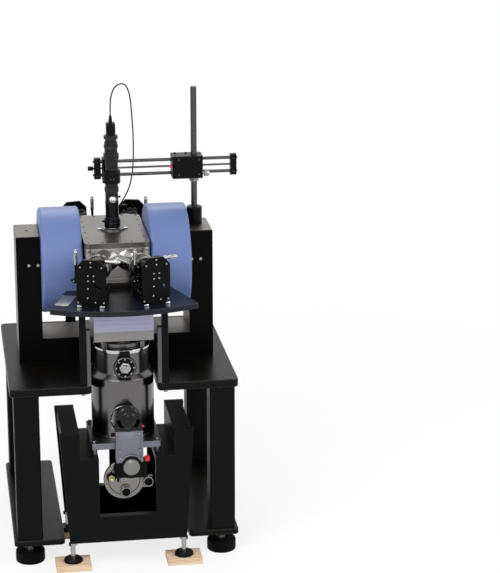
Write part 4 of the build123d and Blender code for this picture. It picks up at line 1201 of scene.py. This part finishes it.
def dressMicroscope():
    rings = []
    for low, high, radius in microscope["rings"]:
        ring = turnedRing(microscope["tube"], radius, 0, high - low, 0.0006, 60)
        if high - low > microscope["knurlFrom"]:
            ring = knurl(ring, 0.0012, high - low - 0.0012, 0.0004, 0.0003)
        rings.append(put(ring, (0, 0, low)))
    nut = turnedPiece([(0.0195, 0), (0.0195, 0.006), (0.0185, 0.007), (0.0175, 0.0072)], 12)
    rings.append(put(nut, (0, 0, 1.162)))
    lightBand = turnedRing(0.0228, 0.0242, 0, 0.004, 0.0006, 60)
    rings.append(put(lightBand, (0, 0, 0.926)))
    gather("microscope_rings", rings, "microscope", "glossBlack")
    lensTube = turnedPiece([(0.0105, 0), (0.0105, 0.006), (0.0098, 0.0075), (0.0088, 0.0078),
                            (0.0085, 0.0068)], 36)
    gather("side_lens_tube", [put(lensTube, (0, -0.0265, microscope["lensHeight"]), towardViewer)],
           "microscope", "brightSteel")
    glass = turnedPiece([(0.0082, 0), (0.0076, 0.0009), (0.006, 0.0016), (0.003, 0.0021)], 36)
    gather("side_lens", [put(glass, (0, -0.0333, microscope["lensHeight"]), towardViewer)],
           "microscope", "paintedGlint")
    knobs = [put(smallKnob, (0.0185, -0.002, microscope["knobHeight"]), (1, 0, 0), scale=0.0034),
             put(smallKnob, (-0.0232, -0.002, microscope["lampHeight"]), (-1, 0, 0), scale=0.0034),
             put(smallKnob, (0.019, 0, 1.045), (1, 0, 0), scale=0.0028)]
    gather("thumb_screws", knobs, "microscope", "anodizedBlack")
    tips = [put(capScrew, (0.0245, -0.002, microscope["knobHeight"]), (1, 0, 0), scale=0.0018),
            put(capScrew, (-0.0292, -0.002, microscope["lampHeight"]), (-1, 0, 0), scale=0.0018)]
    gather("thumb_screw_tips", tips, "microscope", "brightSteel")
    bead = turnedPiece([(0.0017, 0), (0.0016, 0.0008), (0.0008, 0.0014)], 12)
    beads = [put(bead, (across, along, 0.9162), (0, 0, -1)) for across, along in circleSpots(16, 0.0188, 0)]
    gather("ring_light_lamps", beads, "microscope", "paintedGlint")
    heads = [put(capScrew, (x, y, 1.222), scale=0.0014) for x in (-0.0095, 0.0095) for y in (-0.0095, 0.0095)]
    heads += [put(capScrew, (x, -0.013, z), towardViewer, scale=0.0013) for x in (-0.0095, 0.0095)
              for z in (1.193, 1.217)]
    gather("camera_screws", heads, "microscope", "darkSteel")
    ribs = []
    for step in range(5):
        rib = turnedRing(0.0030, 0.0062 - 0.0022 * step / 5, 0, 0.0018, 0.0004, 28)
        ribs.append(put(rib, (0, 0, 1.225 + 0.0031 * step)))
    gather("boot_ribs", ribs, "microscope", "cableJacket")
    grip = turnedRing(0.01906, 0.0228, 0, 0.016, 0.0007, 64)
    grip = knurl(grip, 0.001, 0.015, 0.0005, 0.0004)
    piece = gather("zoom_grip", [put(grip, (0, 0, 1.118))], "zoom_ring", "glossBlack")
    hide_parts("zoom_ring")
    heads = [put(capScrew, (x, -0.031, 1.063), towardViewer, scale=0.0028) for x in (-0.004, 0.004)]
    heads += [put(capScrew, (x, 0.010, 1.113), upward, scale=0.0028) for x in (-0.0205, 0.017)]
    gather("carriage_screws", heads, "scope_carriage", "darkSteel")


dressMicroscope()


# Plug on the far end of the cable

def makePlug():
    plug = turnedPiece([(0.003, 0), (0.0052, 0.001), (0.006, 0.003), (0.006, 0.0195), (0.004, 0.0205),
                        (0.004, 0.0272), (0.0034, 0.028)], 32)
    plug = knurl(plug, 0.0031, 0.0194, 0.0004, 0.0002)
    piece = gather("cable_plug", [put(plug, (0.012, 0.342, 0.780), (-1, 0, 0))], "microscope", "brightSteel")
    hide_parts("camera_cable_plug")
    return piece


cablePlug = makePlug()
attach(cameraCable, "microscope")
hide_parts("camera_cable", "camera_cable_coil")
print("microscope dressed and cable plugged")


# Templates leave the workbench

startFresh()
for template in workbench:
    if template.name in bpy.data.objects:
        bpy.data.objects.remove(template)


# Studio: floor that fades into white, soft lamps and a white surround that metal and glass see

studio = dict(floorRadius=9.0, fadeStart=0.9, fadeEnd=2.6, surround=0.62, floorShade=0.86, aim=(0, 0, 0.7))
lamps = {
    "keyLamp": dict(power=85.0, size=(1.8, 1.8), place=(-1.6, -2.4, 3.0)),
    "fillLamp": dict(power=38.0, size=(2.0, 1.6), place=(2.4, -1.8, 1.8)),
    "backLamp": dict(power=30.0, size=(2.4, 1.0), place=(0.2, 2.2, 2.8)),
    "stripLamp": dict(power=9.0, size=(0.16, 2.2), place=(0.15, -4.6, 1.2)),
}


def viewMask(tree):
    # Rays that look at the studio straight, by gloss or through glass
    path = tree.nodes.new("ShaderNodeLightPath")
    first = addMath(tree, "MAXIMUM", path.outputs["Is Camera Ray"], path.outputs["Is Glossy Ray"])
    return addMath(tree, "MAXIMUM", first, path.outputs["Is Transmission Ray"])


def makeFloor():
    startFresh()
    bpy.ops.mesh.primitive_circle_add(vertices=96, radius=studio["floorRadius"], fill_type="NGON")
    floor = bpy.context.object
    floor.name = "studioFloor"
    material = bpy.data.materials.new("floorWhite")
    material.use_nodes = True
    tree = material.node_tree
    tree.nodes.clear()
    matte = tree.nodes.new("ShaderNodeBsdfDiffuse")
    matte.inputs["Color"].default_value = (studio["floorShade"],) * 3 + (1,)
    glow = tree.nodes.new("ShaderNodeEmission")
    place = tree.nodes.new("ShaderNodeTexCoord").outputs["Object"]
    length = tree.nodes.new("ShaderNodeVectorMath")
    length.operation = "LENGTH"
    tree.links.new(place, length.inputs[0])
    far = addRange(tree, length.outputs["Value"], studio["fadeStart"], studio["fadeEnd"])
    amount = addMath(tree, "MULTIPLY", addRange(tree, far, -4.0, 1.0), viewMask(tree), True)
    mix = tree.nodes.new("ShaderNodeMixShader")
    tree.links.new(amount, mix.inputs["Fac"])
    tree.links.new(matte.outputs[0], mix.inputs[1])
    tree.links.new(glow.outputs[0], mix.inputs[2])
    out = tree.nodes.new("ShaderNodeOutputMaterial")
    tree.links.new(mix.outputs[0], out.inputs["Surface"])
    floor.data.materials.append(material)


def makeSurround():
    world = bpy.data.worlds.new("studioSurround")
    bpy.context.scene.world = world
    world.use_nodes = True
    tree = world.node_tree
    background = tree.nodes["Background"]
    level = addMath(tree, "MULTIPLY", viewMask(tree), 1.0 - studio["surround"])
    tree.links.new(addMath(tree, "ADD", level, studio["surround"]), background.inputs["Strength"])
    background.inputs["Color"].default_value = (1, 1, 1, 1)


def addLamp(name, power, size, place):
    light = bpy.data.lights.new(name, "AREA")
    light.energy = power
    light.shape = "RECTANGLE"
    light.size, light.size_y = size
    lamp = bpy.data.objects.new(name, light)
    bpy.context.scene.collection.objects.link(lamp)
    lamp.location = place
    lamp.rotation_euler = (Vector(studio["aim"]) - Vector(place)).to_track_quat("-Z", "Y").to_euler()


makeFloor()
makeSurround()
for name, lamp in lamps.items():
    addLamp(name, **lamp)
bpy.context.scene.view_settings.view_transform = "Standard"
print("studio lit")
